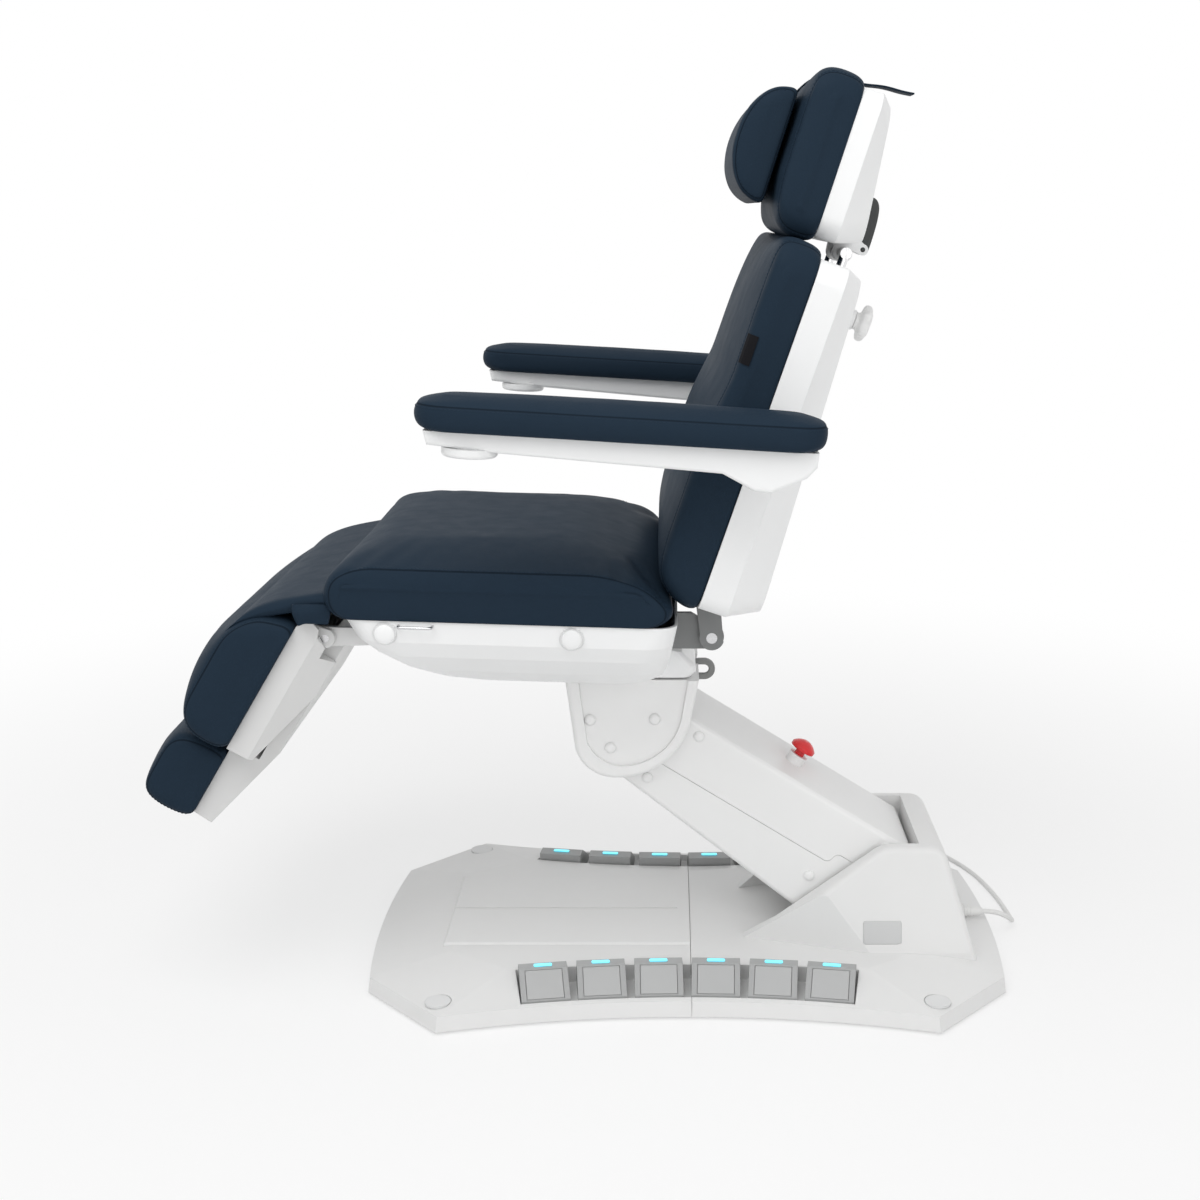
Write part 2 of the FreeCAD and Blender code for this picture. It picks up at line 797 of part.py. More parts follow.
base_cover_rear = base_cover("base_cover_rear", False)
tower = [
    (d.tower_front_x, d.rim_top_z + d.cover_wall), (d.tower_heel_x, d.rim_top_z + d.cover_wall),
    (d.tower_back_x, d.tower_top_z), (d.tower_shoulder_x, d.tower_top_z),
]
pad(base_cover_rear, "XZ", [tower], d.tower_foot_y * 2, both=True)
soften(base_cover_rear, "Fillet", d.tower_back_radius,
       lambda middle, edge: near(middle.z, d.tower_top_z) and near(middle.x, d.tower_back_x))
soften(base_cover_rear, "Fillet", d.tower_shoulder_radius,
       lambda middle, edge: near(middle.z, d.tower_top_z) and near(middle.x, d.tower_shoulder_x))
over = d.tower_foot_y + d.cover_wall
draft = [
    [(d.tower_foot_y, d.deck_top_z), (over, d.deck_top_z), (over, d.tower_top_z + 1),
     (d.tower_top_y, d.tower_top_z + 1)],
    [(-d.tower_top_y, d.tower_top_z + 1), (-over, d.tower_top_z + 1), (-over, d.deck_top_z),
     (-d.tower_foot_y, d.deck_top_z)],
]
pocket(base_cover_rear, "YZ", draft, d.base_end_x, reverse=True)
prow = [
    [(d.tower_front_x - 4, -d.tower_front_y), (d.tower_front_x - 4, -over), (d.tower_shoulder_x, -over),
     (d.tower_shoulder_x - 20, -d.tower_foot_y)],
    [(d.tower_front_x - 4, d.tower_front_y), (d.tower_shoulder_x - 20, d.tower_foot_y),
     (d.tower_shoulder_x, over), (d.tower_front_x - 4, over)],
]
pocket(base_cover_rear, "XY", prow, d.tower_top_z, level=d.deck_top_z + d.tower_top_z)


def on_draft(middle, edge):
    """Edges of the tower's two slanting sides, above the deck."""
    share = (middle.z - d.deck_top_z.value) / (d.tower_top_z.value + 1 - d.deck_top_z.value)
    slant = d.tower_foot_y.value + (d.tower_top_y.value - d.tower_foot_y.value) * share
    above = middle.z > d.deck_top_z.value + 20 and middle.x > d.tower_shoulder_x.value - 30
    return above and near(abs(middle.y), slant, 1.5)


soften(base_cover_rear, "Fillet", d.tower_edge_radius, on_draft)
slot_plan = [
    (d.tower_front_x - 4, -d.slot_mouth_y), (d.slot_front_x, -d.slot_half_width),
    (d.slot_back_x, -d.slot_half_width),
    (d.slot_back_x, d.slot_half_width), (d.slot_front_x, d.slot_half_width),
    (d.tower_front_x - 4, d.slot_mouth_y),
]
pocket(base_cover_rear, "XY", [slot_plan], d.tower_top_z, level=d.deck_top_z + d.tower_top_z)
pocket(base_cover_rear, "XY",
       [rectangle(d.frame_hole_front_x, d.slot_back_x, -d.frame_hole_half_width, d.frame_hole_half_width)],
       d.deck_top_z, level=d.deck_top_z + 1)
pocket(base_cover_rear, "XY",
       [rectangle(d.cover_split_x, d.tower_heel_x - d.cover_wall * 16, -d.cavity_half_width,
                  d.cavity_half_width)],
       d.cavity_top_z - d.frame_plate_z, level=d.frame_plate_z, reverse=True)
cheek_in = d.slot_half_width + d.cover_wall
cheek_out = d.slot_half_width + d.cover_wall * 8
cheek_front = d.frame_hole_front_x - 20
cheek_rear = d.slot_back_x + d.cover_wall * 14
pocket(base_cover_rear, "XY", [[
    (cheek_front, -cheek_out), (cheek_rear, -cheek_out), (cheek_rear, cheek_out), (cheek_front, cheek_out),
    (cheek_front, cheek_in), (d.slot_back_x + d.cover_wall, cheek_in),
    (d.slot_back_x + d.cover_wall, -cheek_in),
    (cheek_front, -cheek_in),
]], d.tower_top_z / 2 - d.frame_plate_z, level=d.frame_plate_z, reverse=True)
for cover in (base_cover_front, base_cover_rear):
    pocket(cover, "XY", [pedal_well(-1), pedal_well(1)], d.deck_top_z,
           level=d.pedal_well_floor_z + d.deck_top_z)


def bracket_plate(body, outline, holes, inner_y, thickness):
    """A pair of upright plates, one each side of the middle, with round holes."""
    loops = [outline] + [("circle",) + hole for hole in holes]
    plate = pad(body, "XZ", loops, thickness, level=inner_y)
    mirror(body, [plate])


base_frame = new_body("base_frame", BASE)
plate_top = d.frame_plate_z + d.frame_plate_thickness
beam_in = d.foot_x - d.frame_beam_width / 2
beam_out = d.foot_x + d.frame_beam_width / 2
beam_cut_x = beam_out - d.frame_beam_chamfer
beam_cut_y = d.frame_beam_y - d.frame_beam_chamfer
pad(base_frame, "XY", [[
    (-beam_out, -beam_cut_y), (-beam_cut_x, -d.frame_beam_y), (-beam_in, -d.frame_beam_y),
    (-beam_in, -d.frame_spine_y), (beam_in, -d.frame_spine_y), (beam_in, -d.frame_beam_y),
    (beam_cut_x, -d.frame_beam_y), (beam_out, -beam_cut_y), (beam_out, beam_cut_y),
    (beam_cut_x, d.frame_beam_y), (beam_in, d.frame_beam_y), (beam_in, d.frame_spine_y),
    (-beam_in, d.frame_spine_y), (-beam_in, d.frame_beam_y), (-beam_cut_x, d.frame_beam_y),
    (-beam_out, beam_cut_y),
]], d.frame_plate_thickness, level=d.frame_plate_z)
head = d.bracket_head_radius
bracket_outline = [
    (d.bracket_foot_front_x, plate_top), (d.bracket_foot_rear_x, plate_top),
    (d.pivot_x + head, d.pivot_z, head),
    (d.pivot_x, d.pivot_z + head, head), (d.pivot_x - head, d.pivot_z),
]
bracket_plate(base_frame, bracket_outline, [
    (d.pivot_x, d.pivot_z, d.pivot_pin_radius),
    (d.pivot_x + d.link_offset_x, d.pivot_z + d.link_offset_z, d.link_pin_radius),
], d.bracket_inner_y, d.bracket_thickness)

corners = [(x, y) for x in (-d.foot_x, d.foot_x) for y in (-d.foot_y, d.foot_y)]
group("levelling_feet", [cylinder(d.foot_pad_radius, d.frame_plate_z, x, y, 0) for x, y in corners], BASE)
group("foot_caps", [
    cylinder(d.foot_cap_radius, d.foot_cap_thickness, x, y, d.foot_cap_seat_z) for x, y in corners
], BASE)


def pin(radius, x, z, half_length):
    return cylinder(radius, half_length * 2, x, -half_length, z, ACROSS)


pivot_reach = d.bar_inner_y + d.bar_thickness
link_reach = d.bracket_inner_y + d.bracket_thickness
group("arm_pivot_pins", [
    pin(d.pivot_pin_radius, d.pivot_x, d.pivot_z, pivot_reach),
    pin(d.link_pin_radius, d.pivot_x + d.link_offset_x, d.pivot_z + d.link_offset_z, link_reach),
], BASE)

control_box = new_body("control_box", BASE)
box_front = d.cavity_front_x + d.cover_wall * 20
pad(control_box, "XY",
    [rectangle(box_front, box_front + d.control_box_length, -d.control_box_width / 2,
               d.control_box_width / 2)],
    d.control_box_height, level=plate_top)
soften(control_box, "Fillet", 4, lambda middle, edge: runs_along(edge, UP))


# Pedals: seen from the centre of their arc, with the base behind them at a larger radius

ring_radius = d.base_waist_y + d.base_side_radius
pad_slope_run = d.pedal_outer_y - d.pedal_inner_y - d.pedal_land - 3
pad_slope_fall = d.pedal_top_z - d.pedal_toe_z
slope_length = Size(math.hypot(pad_slope_run.value, pad_slope_fall.value),
                    f"sqrt({pad_slope_run.text} ^ 2 + {pad_slope_fall.text} ^ 2)")


def on_slope(along, above):
    """A point of a pedal's section, measured along its slope from the ridge and above it."""
    run, fall = pad_slope_run / slope_length, pad_slope_fall / slope_length
    ridge_y = ring_radius - d.pedal_inner_y - d.pedal_land
    return ridge_y - along * run - above * fall, d.pedal_top_z - along * fall + above * run


pad_start = size(3.0)
pad_end = slope_length - 3
hinge_along = pad_start + d.pedal_pad_thickness
hinge_below = -d.pedal_pad_thickness / 2


class PedalFrame:
    """The centre of a row's arc, turned about the upright axis; side is -1 on the patient's left."""

    def __init__(self, side, angle):
        self.y = -ring_radius if side < 0 else ring_radius
        self.angle = angle if side < 0 else angle + 180

    def hold(self, item):
        item.Placement = FreeCAD.Placement(V(), FreeCAD.Rotation(UP, 10))
        item.setExpression("Placement.Base.x", d.base_centre_x.text)
        item.setExpression("Placement.Base.y", self.y.text)
        item.setExpression("Placement.Rotation.Angle", f"{self.angle.text} * 1 deg")


def pedal_housings(label, side):
    body = new_body(label, PedalFrame(side, -d.pedal_pitch * 2.5))
    inner = ring_radius - d.pedal_inner_y
    outer = ring_radius - d.pedal_outer_y
    section = [
        (outer, d.pedal_well_floor_z), (inner, d.pedal_well_floor_z), (inner, d.pedal_top_z - 2),
        (inner - d.pedal_land, d.pedal_top_z), (outer + 3, d.pedal_toe_z),
    ]
    shell = pad(body, "YZ", [section], d.pedal_width, both=True)
    room = d.pedal_pad_thickness + d.pedal_pad_travel_room
    gap = d.pedal_pad_gap
    hollow = [
        on_slope(pad_start - gap, size(2)), on_slope(pad_start - gap, -room),
        on_slope(pad_end + gap, -room), on_slope(pad_end + gap, size(2)),
    ]
    recess = pocket(body, "YZ", [hollow], d.pedal_pad_width + gap * 2, both=True)
    pin_room = ("circle",) + on_slope(hinge_along, hinge_below) + (d.pedal_pin_radius + d.running_gap,)
    bore = pocket(body, "YZ", [pin_room], d.pedal_pad_width + gap * 2 + d.pedal_pin_reach * 2, both=True)
    light_y = inner - d.pedal_land * 0.55
    light = pocket(body, "XY", [
        rectangle(-d.pedal_light_length / 2, d.pedal_light_length / 2,
                  light_y - d.pedal_light_width / 2, light_y + d.pedal_light_width / 2)
    ], d.pedal_light_depth + 3, level=d.pedal_top_z + 2)
    polar(body, [shell, recess, bore, light], 6, d.pedal_pitch * 5)


def pedal_pad(label, side, index):
    body = new_body(label, PedalFrame(side, d.pedal_pitch * (side * (index - 3.5))))
    plate = [
        on_slope(pad_start, size(0)), on_slope(pad_start, -d.pedal_pad_thickness),
        on_slope(pad_end, -d.pedal_pad_thickness), on_slope(pad_end, size(0)),
    ]
    pad(body, "YZ", [plate], d.pedal_pad_width, both=True)
    trunnion = ("circle",) + on_slope(hinge_along, hinge_below) + (d.pedal_pin_radius,)
    pad(body, "YZ", [trunnion], d.pedal_pad_width + d.pedal_pin_reach, both=True)


for row_name, row_side in (("left", -1), ("right", 1)):
    pedal_housings(f"pedal_housings_{row_name}", row_side)
    for pedal in range(1, 7):
        pedal_pad(f"pedal_{row_name}_{pedal}", row_side, pedal)


# Lift arm, drawn along -X from its lower pivot

lift_arm_frame = new_body("lift_arm_frame", ARM)
bore_radius = d.pivot_pin_radius + d.running_gap
bar = pad(lift_arm_frame, "XZ", [
    stadium(-d.arm_length, 0, 0, d.bar_head_radius),
    ("circle", 0, 0, bore_radius), ("circle", -d.arm_length, 0, bore_radius),
], d.bar_thickness, level=d.bar_inner_y)
mirror(lift_arm_frame, [bar])
for start in (d.cross_bar_lower, d.arm_length - d.cross_bar_setback):
    pad(lift_arm_frame, "XZ",
        [rectangle(-start - d.cross_bar_length, -start, -d.cross_bar_height / 2, d.cross_bar_height / 2)],
        d.bar_inner_y * 2, both=True)

gearmotor = cylinder(d.gearmotor_radius, d.gearmotor_length,
                     -d.cross_bar_lower - d.cross_bar_length - d.gearmotor_length, 0, 0, V(1, 0, 0))
group("lift_gearmotor", [gearmotor], ARM)


def screw_caps(body, places, half_width):
    """Small round caps on both sides of a cover."""
    caps = pad(body, "XZ", [("circle", x, z, d.screw_cap_radius) for x, z in places],
               d.screw_cap_height + 1,
               level=half_width - 1)
    mirror(body, [caps])


arm_nose = d.arm_length - d.arm_nose_setback
arm_cover_upper = new_body("arm_cover_upper", ARM)


def chord(radius, height):
    """How far out a circle about the pivot is at a height above it."""
    return Size(math.sqrt(radius.value ** 2 - height.value ** 2),
                f"sqrt(({radius.text}) ^ 2 - ({height.text}) ^ 2)")


def hump(level):
    """The parting line's step up beside the tower, from the nose towards the tail."""
    ease = d.arm_hump_radius
    start = -d.arm_hump_x
    return [(start, level), (start + ease, level + ease), (start + ease * 2, level + ease * 2)]


ease = d.arm_hump_radius
low, middle, high = hump(d.arm_parting)
tail_top = d.arm_tail_step
pad(arm_cover_upper, "XZ", [[
    (-arm_nose, d.arm_parting), low + (ease,), middle + (-ease,), high, (d.arm_tail, high[1]),
    (d.arm_tail, tail_top),
    (chord(d.arm_tail_radius, tail_top), tail_top, d.arm_tail_radius),
    (chord(d.arm_tail_radius, d.arm_top), d.arm_top), (-arm_nose, d.arm_top),
]], d.arm_half_width * 2, both=True)
soften(arm_cover_upper, "Fillet", d.arm_edge_radius,
       lambda middle, edge: near(middle.z, d.arm_top) and runs_along(edge, V(1, 0, 0)))
inside_top = d.arm_top - d.arm_wall
tail_inside = d.arm_tail_radius - d.arm_wall
pocket(arm_cover_upper, "XZ", [[
    (-arm_nose - 1, d.arm_parting - 1), (d.arm_tail + 1, d.arm_parting - 1), (d.arm_tail + 1, tail_top - 1),
    (chord(tail_inside, tail_top - 1), tail_top - 1, tail_inside),
    (chord(tail_inside, inside_top), inside_top),
    (-arm_nose - 1, inside_top),
]], d.arm_half_width * 2 - d.arm_wall * 2, both=True)
bosses = pad(arm_cover_upper, "XZ", [("circle", x, 0, d.bar_thickness)
                                     for x in (-d.arm_length * 0.28, -d.arm_length * 0.66)],
             d.arm_half_width - d.arm_wall - pivot_reach, level=pivot_reach)
mirror(arm_cover_upper, [bosses])
pad(arm_cover_upper, "XY", [("circle", -d.stop_x, 0, d.stop_collar_radius)],
    d.stop_collar_height + d.arm_wall, level=inside_top)
pocket(arm_cover_upper, "XY", [("circle", -d.stop_x, 0, d.stop_stem_radius + d.stop_stem_gap)],
       d.arm_top + d.arm_wall + 1, level=d.arm_top * 2)
screw_caps(arm_cover_upper, [(-d.arm_length * 0.82, d.arm_top - 18), (-size(12), d.arm_top - 18)],
           d.arm_half_width)

belly_nose = d.arm_length - d.arm_belly_nose_setback
arm_cover_lower = new_body("arm_cover_lower", ARM)
belly_top = d.arm_parting - d.arm_parting_gap
low, middle, high = hump(belly_top)
pad(arm_cover_lower, "XZ", [[
    (-belly_nose, d.arm_belly_nose_depth), (-d.arm_belly_tail, d.arm_belly_tail_depth),
    (-d.arm_fin_waist_x, d.arm_fin_waist_depth), (-d.arm_fin_x, d.arm_fin_depth), (-d.arm_fin_x, high[1]),
    high + (ease,), middle + (-ease,), low, (-belly_nose, belly_top),
]], d.arm_half_width * 2, both=True)
soften(arm_cover_lower, "Fillet", d.arm_edge_radius,
       lambda middle, edge: middle.z < d.arm_belly_nose_depth.value + 1 and near(abs(middle.y),
                                                                                 d.arm_half_width))
under_fin = d.arm_belly_tail_depth - d.arm_wall
pocket(arm_cover_lower, "XZ", [[
    (-belly_nose - 1, d.arm_belly_nose_depth + d.arm_wall),
    (-d.arm_belly_tail, d.arm_belly_tail_depth + d.arm_wall),
    (-d.arm_belly_tail, under_fin), (d.arm_wall, under_fin), (d.arm_wall, high[1] + 1),
    (-belly_nose - 1, high[1] + 1),
]], d.arm_half_width * 2 - d.arm_wall * 2, both=True)
screw_caps(arm_cover_lower, [(34 - belly_nose, belly_top - 30), (-d.arm_belly_tail - 15, belly_top - 33)],
           d.arm_half_width)
tabs = pad(arm_cover_lower, "XZ", [
    rectangle(x, x + 30, belly_top - 14, d.bar_head_radius / 2)
    for x in (-d.arm_length * 0.4, -d.arm_length * 0.8)
], d.arm_half_width - d.arm_wall - pivot_reach, level=pivot_reach)
mirror(arm_cover_lower, [tabs])

STOP = ARM.child(-d.stop_x, d.arm_top + d.stop_collar_height, d.arm_rise)
stop_button = new_body("stop_button", STOP)
head_low = d.stop_head_clearance
head_high = head_low + d.stop_head_height
revolve(stop_button, [
    (0, -d.stop_travel_room), (d.stop_stem_radius, -d.stop_travel_room), (d.stop_stem_radius, head_low),
    (d.stop_head_radius, head_low), (d.stop_head_radius, head_low + d.stop_head_height / 3, 30),
    (d.stop_head_radius / 4, head_high), (0, head_high),
])

level_link = new_body("level_link", LINK)
link_bore = d.link_pin_radius + d.running_gap
pad(level_link, "XZ", [
    stadium(-d.arm_length, 0, 0, d.link_head_radius),
    ("circle", 0, 0, link_bore), ("circle", -d.arm_length, 0, link_bore),
], d.link_half_width * 2, both=True)


# Yoke

yoke_frame = new_body("yoke_frame", TOP)
bracket_plate(yoke_frame, [
    (d.link_offset_x - 20, d.link_offset_z - 16), (d.link_offset_x + 20, d.link_offset_z - 16),
    (d.bracket_head_radius, 0), (d.bracket_head_radius + 14, d.yoke_plate_top),
    (d.swivel_x - 58, d.yoke_plate_top), (d.link_offset_x - 36, 0),
], [(size(0), size(0), d.pivot_pin_radius), (d.link_offset_x, d.link_offset_z, d.link_pin_radius)],
    d.bracket_inner_y, d.bracket_thickness)
pad(yoke_frame, "XY",
    [rectangle(d.swivel_x - 74, d.swivel_x + 80, -link_reach, link_reach)],
    d.yoke_plate_thickness, level=d.yoke_plate_top)
plate_high = d.yoke_plate_top + d.yoke_plate_thickness
pad(yoke_frame, "XY", [("circle", d.swivel_x, 0, d.spigot_radius)], d.spigot_height, level=plate_high)
group("yoke_pins", [
    pin(d.pivot_pin_radius, 0, 0, pivot_reach),
    pin(d.link_pin_radius, d.link_offset_x, d.link_offset_z, link_reach),
], TOP)

yoke_cover = new_body("yoke_cover", TOP)
yoke_low_x = (d.yoke_front_x + d.yoke_rear_x) / 2 - 28


def yoke_outline(inset):
    """The cheek: straight down the front, then round below and up behind."""
    inset = size(inset)
    front, rear = d.yoke_front_x + inset, d.yoke_rear_x - inset
    bottom, top = d.yoke_bottom + inset, d.yoke_top - inset
    return [
        (front, top), (front + 14, d.yoke_bottom + 45, 62 - inset), (yoke_low_x, bottom, 112 - inset),
        (rear - 12, d.yoke_bottom + 92), (rear, top),
    ]


pad(yoke_cover, "XZ", [yoke_outline(0)], d.yoke_outer_y * 2, both=True)
soften(yoke_cover, "Fillet", d.yoke_wall * 1.6,
       lambda middle, edge: near(abs(middle.y), d.yoke_outer_y) and middle.z < d.yoke_top.value - 1)
pocket(yoke_cover, "XZ", [[
    (d.yoke_front_x + d.yoke_wall, plate_high), (d.yoke_front_x + d.yoke_wall + 14, d.yoke_bottom + 45),
    (yoke_low_x - 24, d.yoke_bottom + d.yoke_wall), (yoke_low_x - 24, d.yoke_bottom - 1),
    (d.yoke_rear_x + 1, d.yoke_bottom - 1), (d.yoke_rear_x + 1, d.yoke_bridge_bottom),
    (d.yoke_rear_x - d.yoke_wall * 3, d.yoke_bridge_bottom), (d.yoke_rear_x - d.yoke_wall * 3, plate_high),
]], d.yoke_inner_y * 2, both=True)
pocket(yoke_cover, "XY", [("circle", d.swivel_x, 0, d.hub_hole_radius)], d.yoke_top, level=d.yoke_top + 1)
panel = [
    (d.yoke_front_x + d.yoke_rim + 4, d.yoke_top + 1),
    (d.yoke_front_x + d.yoke_rim + 16, d.yoke_bottom + 58, 60),
    (yoke_low_x + 6, d.yoke_bottom + d.yoke_rim + 4, 92),
    (d.yoke_rear_x - d.yoke_rim - 10, d.yoke_bottom + 96),
    (d.yoke_rear_x - d.yoke_rim, d.yoke_top + 1),
]
pocket(yoke_cover, "XZ", [panel], d.yoke_recess, level=d.yoke_outer_y)
pocket(yoke_cover, "XZ", [panel], d.yoke_recess, level=-d.yoke_outer_y, reverse=True)
screw_caps(yoke_cover, [(-size(80), 21), (17, 22), (-size(50), -size(23))], d.yoke_outer_y - d.yoke_recess)
lever_z = d.yoke_plate_top - d.swivel_lever_drop
pocket(yoke_cover, "YZ",
       [rectangle(-d.swivel_lever_window, d.swivel_lever_window, lever_z - d.swivel_lever_width / 2,
                  d.yoke_top + 1)],
       d.yoke_rear_x, level=d.yoke_rear_x + d.swivel_lever_x)
pad(yoke_frame, "XY", [("circle", d.swivel_lever_x, 0, d.swivel_lever_pin_radius)],
    d.swivel_lever_drop + d.swivel_lever_thickness + 2, level=d.yoke_plate_top, reverse=True)

LEVER = TOP.child(d.swivel_lever_x, lever_z - d.swivel_lever_thickness, 0)
swivel_lever = new_body("swivel_lever", LEVER)
half_lever = d.swivel_lever_width / 2
loop_end = d.swivel_lever_length - half_lever
loop_start = loop_end - d.swivel_lever_thickness
pad(swivel_lever, "XY", [
    stadium(0, loop_start - half_lever, 0, half_lever / 2),
    ("circle", 0, 0, d.swivel_lever_pin_radius + d.running_gap),
], d.swivel_lever_thickness)
pad(swivel_lever, "XZ", [
    stadium(loop_start, loop_end, d.swivel_lever_rise, half_lever),
    stadium(loop_start, loop_end, d.swivel_lever_rise, d.swivel_lever_slot / 2),
], d.swivel_lever_thickness, both=True)
soften(swivel_lever, "Fillet", d.swivel_lever_thickness / 4,
       lambda middle, edge: near(abs(middle.y),
                                 d.swivel_lever_thickness.value / 2) and middle.x > loop_end.value)


# Seat

seat_shell = new_body("seat_shell", SEAT)


def bowl(wall):
    """Levels of the seat shell, drawn in by a wall: a straight rim above a boat-shaped belly."""
    wall = size(wall)
    low = -d.shell_depth + wall
    rows = [
        (-d.shell_rim_height, -d.shell_front + 16, d.shell_rear - 5, d.shell_half_width - 2, 40),
        (-d.shell_rim_height - 24, -d.shell_front + 36, d.shell_rear - 8, d.shell_half_width - 18, 50),
        (-d.shell_rim_height - 52, -d.shell_front + 66, d.shell_rear - 12, d.shell_half_width - 50, 60),
        (low + 22, -d.shell_front + 94, d.shell_rear - 16, d.shell_half_width - 84, 66),
        (low + 9, -d.shell_front + 126, d.shell_rear - 20, d.shell_half_width - 118, 70),
        (low, -d.shell_front + 190, d.shell_rear - 50, d.shell_half_width - 165, 60),
    ]
    return [(level, rounded(x0 + wall, x1 - wall, half - wall, corner)) for level, x0, x1, half,
            corner in rows]


def rim(wall):
    wall = size(wall)
    top = (0, rounded(-d.shell_front + wall, d.shell_rear - wall, d.shell_half_width - wall, 30))
    return [top, bowl(wall)[0]]


loft(seat_shell, "Additive", "XY", rim(0), ruled=True)
loft(seat_shell, "Additive", "XY", bowl(0), ruled=True)
loft(seat_shell, "Subtractive", "XY", rim(d.shell_wall), ruled=True)
loft(seat_shell, "Subtractive", "XY", bowl(d.shell_wall), ruled=True)
pad(seat_shell, "XZ", [[
    (d.shell_rear - 40, -d.shell_depth + 2), (d.chin_rear - 8, -d.shell_depth + 4),
    (d.chin_rear, 12 - d.shell_depth),
    (d.chin_rear - 2, 22 - d.shell_depth), (d.chin_rear - 22, d.chin_height - d.shell_depth),
    (d.shell_rear - 20, d.chin_height + 6 - d.shell_depth),
]], d.chin_half_width * 2, both=True)
soften(seat_shell, "Fillet", 10, lambda middle, edge: near(abs(middle.y), d.chin_half_width, 0.1)
       and middle.x > d.shell_rear.value + 2 and middle.z > 8 - d.shell_depth.value)
hub_x = (d.swivel_x - d.seat_origin_x) / cosine(d.seat_pitch) + sine(d.seat_pitch) * d.shell_depth
pocket(seat_shell, "XY", [("circle", hub_x, 0, d.hub_hole_radius)], d.shell_depth,
       level=-d.shell_rim_height)
rail_out = d.rail_inner_y + d.rail_thickness
rear_slot = rectangle(d.shell_rear - 44, d.shell_rear + 6, -d.shell_rim_height - 42, -size(5))
front_slot = rectangle(-d.shell_front - 8, -d.shell_front + 90, -d.shell_rim_height - 26, -size(9))
for side, turned in ((1, False), (-1, True)):
    pocket(seat_shell, "XZ", [rear_slot], d.rail_thickness, level=rail_out * side, reverse=turned)
    pocket(seat_shell, "XZ", [front_slot], d.knee_plate_thickness,
           level=(d.knee_plate_inner_y + d.knee_plate_thickness) * side, reverse=turned)

seat_frame = new_body("seat_frame", TOP)
pad(seat_frame, "XY", [rectangle(d.hub_plate_front_x, d.hub_plate_rear_x, -rail_out, rail_out)],
    d.hub_plate_thickness, level=d.hub_plate_z)
pad(seat_frame, "XY", [("circle", d.swivel_x, 0, d.hub_radius)], d.hub_top_z - d.hub_bottom_z,
    level=d.hub_bottom_z)
eye = d.hinge_eye_radius
rail = pad(seat_frame, "XZ", [[
    (d.rail_front_x, d.rail_top_z), (d.rail_front_x, d.rail_top_z - 20),
    (d.rail_front_x + 40, d.rail_top_z - 56),
    (d.rail_front_x + 90, d.hub_plate_z + 20), (d.hub_plate_front_x, d.hub_plate_z),
    (d.hub_plate_rear_x, d.hub_plate_z),
    (d.hub_plate_rear_x + 12, d.back_hinge_z - eye), (d.back_hinge_x, d.back_hinge_z - eye, eye),
    (d.back_hinge_x + eye, d.back_hinge_z, eye), (d.back_hinge_x, d.back_hinge_z + eye),
    (d.back_hinge_x - 30, d.rail_top_z),
]], d.rail_thickness, level=d.rail_inner_y)
mirror(seat_frame, [rail])
beam_low = d.rail_top_z - d.knee_beam_height - 1
knee_out = d.knee_plate_inner_y + d.knee_plate_thickness
pad(seat_frame, "XZ",
    [rectangle(d.knee_beam_x - d.knee_beam_length / 2, d.knee_beam_x + d.knee_beam_length / 2,
               beam_low, beam_low + d.knee_beam_height)], knee_out * 2, both=True)
knee_eye = d.knee_eye_radius
knee_plate = pad(seat_frame, "XZ", [[
    (d.knee_x, d.knee_z - knee_eye), (d.knee_beam_x, beam_low),
    (d.knee_beam_x, beam_low + d.knee_beam_height),
    (d.knee_x, d.knee_z + knee_eye, knee_eye), (d.knee_x - knee_eye, d.knee_z, knee_eye),
]], d.knee_plate_thickness, level=d.knee_plate_inner_y)
mirror(seat_frame, [knee_plate])
pocket(seat_frame, "XY", [("circle", d.swivel_x, 0, d.spigot_radius + d.running_gap)], d.hub_top_z,
       level=d.hub_top_z + 1)
pocket(seat_frame, "XZ", [
    ("circle", d.back_hinge_x, d.back_hinge_z, d.hinge_pin_radius),
    ("circle", d.knee_x, d.knee_z, d.knee_pin_radius),
], knee_out * 2 + 2, both=True)

back_lug_in = rail_out + d.back_rail_gap
back_lug_out = back_lug_in + d.rail_thickness
leg_lug_in = knee_out + d.back_rail_gap
leg_lug_out = leg_lug_in + d.knee_plate_thickness
pins = []
for start in (d.rail_inner_y, -back_lug_out):
    pins.append(cylinder(d.hinge_pin_radius, back_lug_out - d.rail_inner_y, d.back_hinge_x, start,
                         d.back_hinge_z, ACROSS))
for start in (d.knee_plate_inner_y, -leg_lug_out):
    pins.append(cylinder(d.knee_pin_radius, leg_lug_out - d.knee_plate_inner_y, d.knee_x, start, d.knee_z,
                         ACROSS))
group("seat_hinge_pins", pins, TOP)
group("seat_gearmotors", [
    pin(d.seat_motor_radius, x, d.seat_motor_z, d.rail_inner_y)
    for x in (d.seat_motor_front_x, d.seat_motor_rear_x)
], TOP)

caps = []
for x in (d.shell_cap_front_x, d.shell_cap_rear_x):
    for start in (d.shell_half_width, -d.shell_half_width - d.shell_cap_thickness):
        caps.append(cylinder(d.shell_cap_radius, d.shell_cap_thickness, x, start, -d.shell_cap_drop,
                             ACROSS))
group("seat_shell_caps", caps, SEAT)


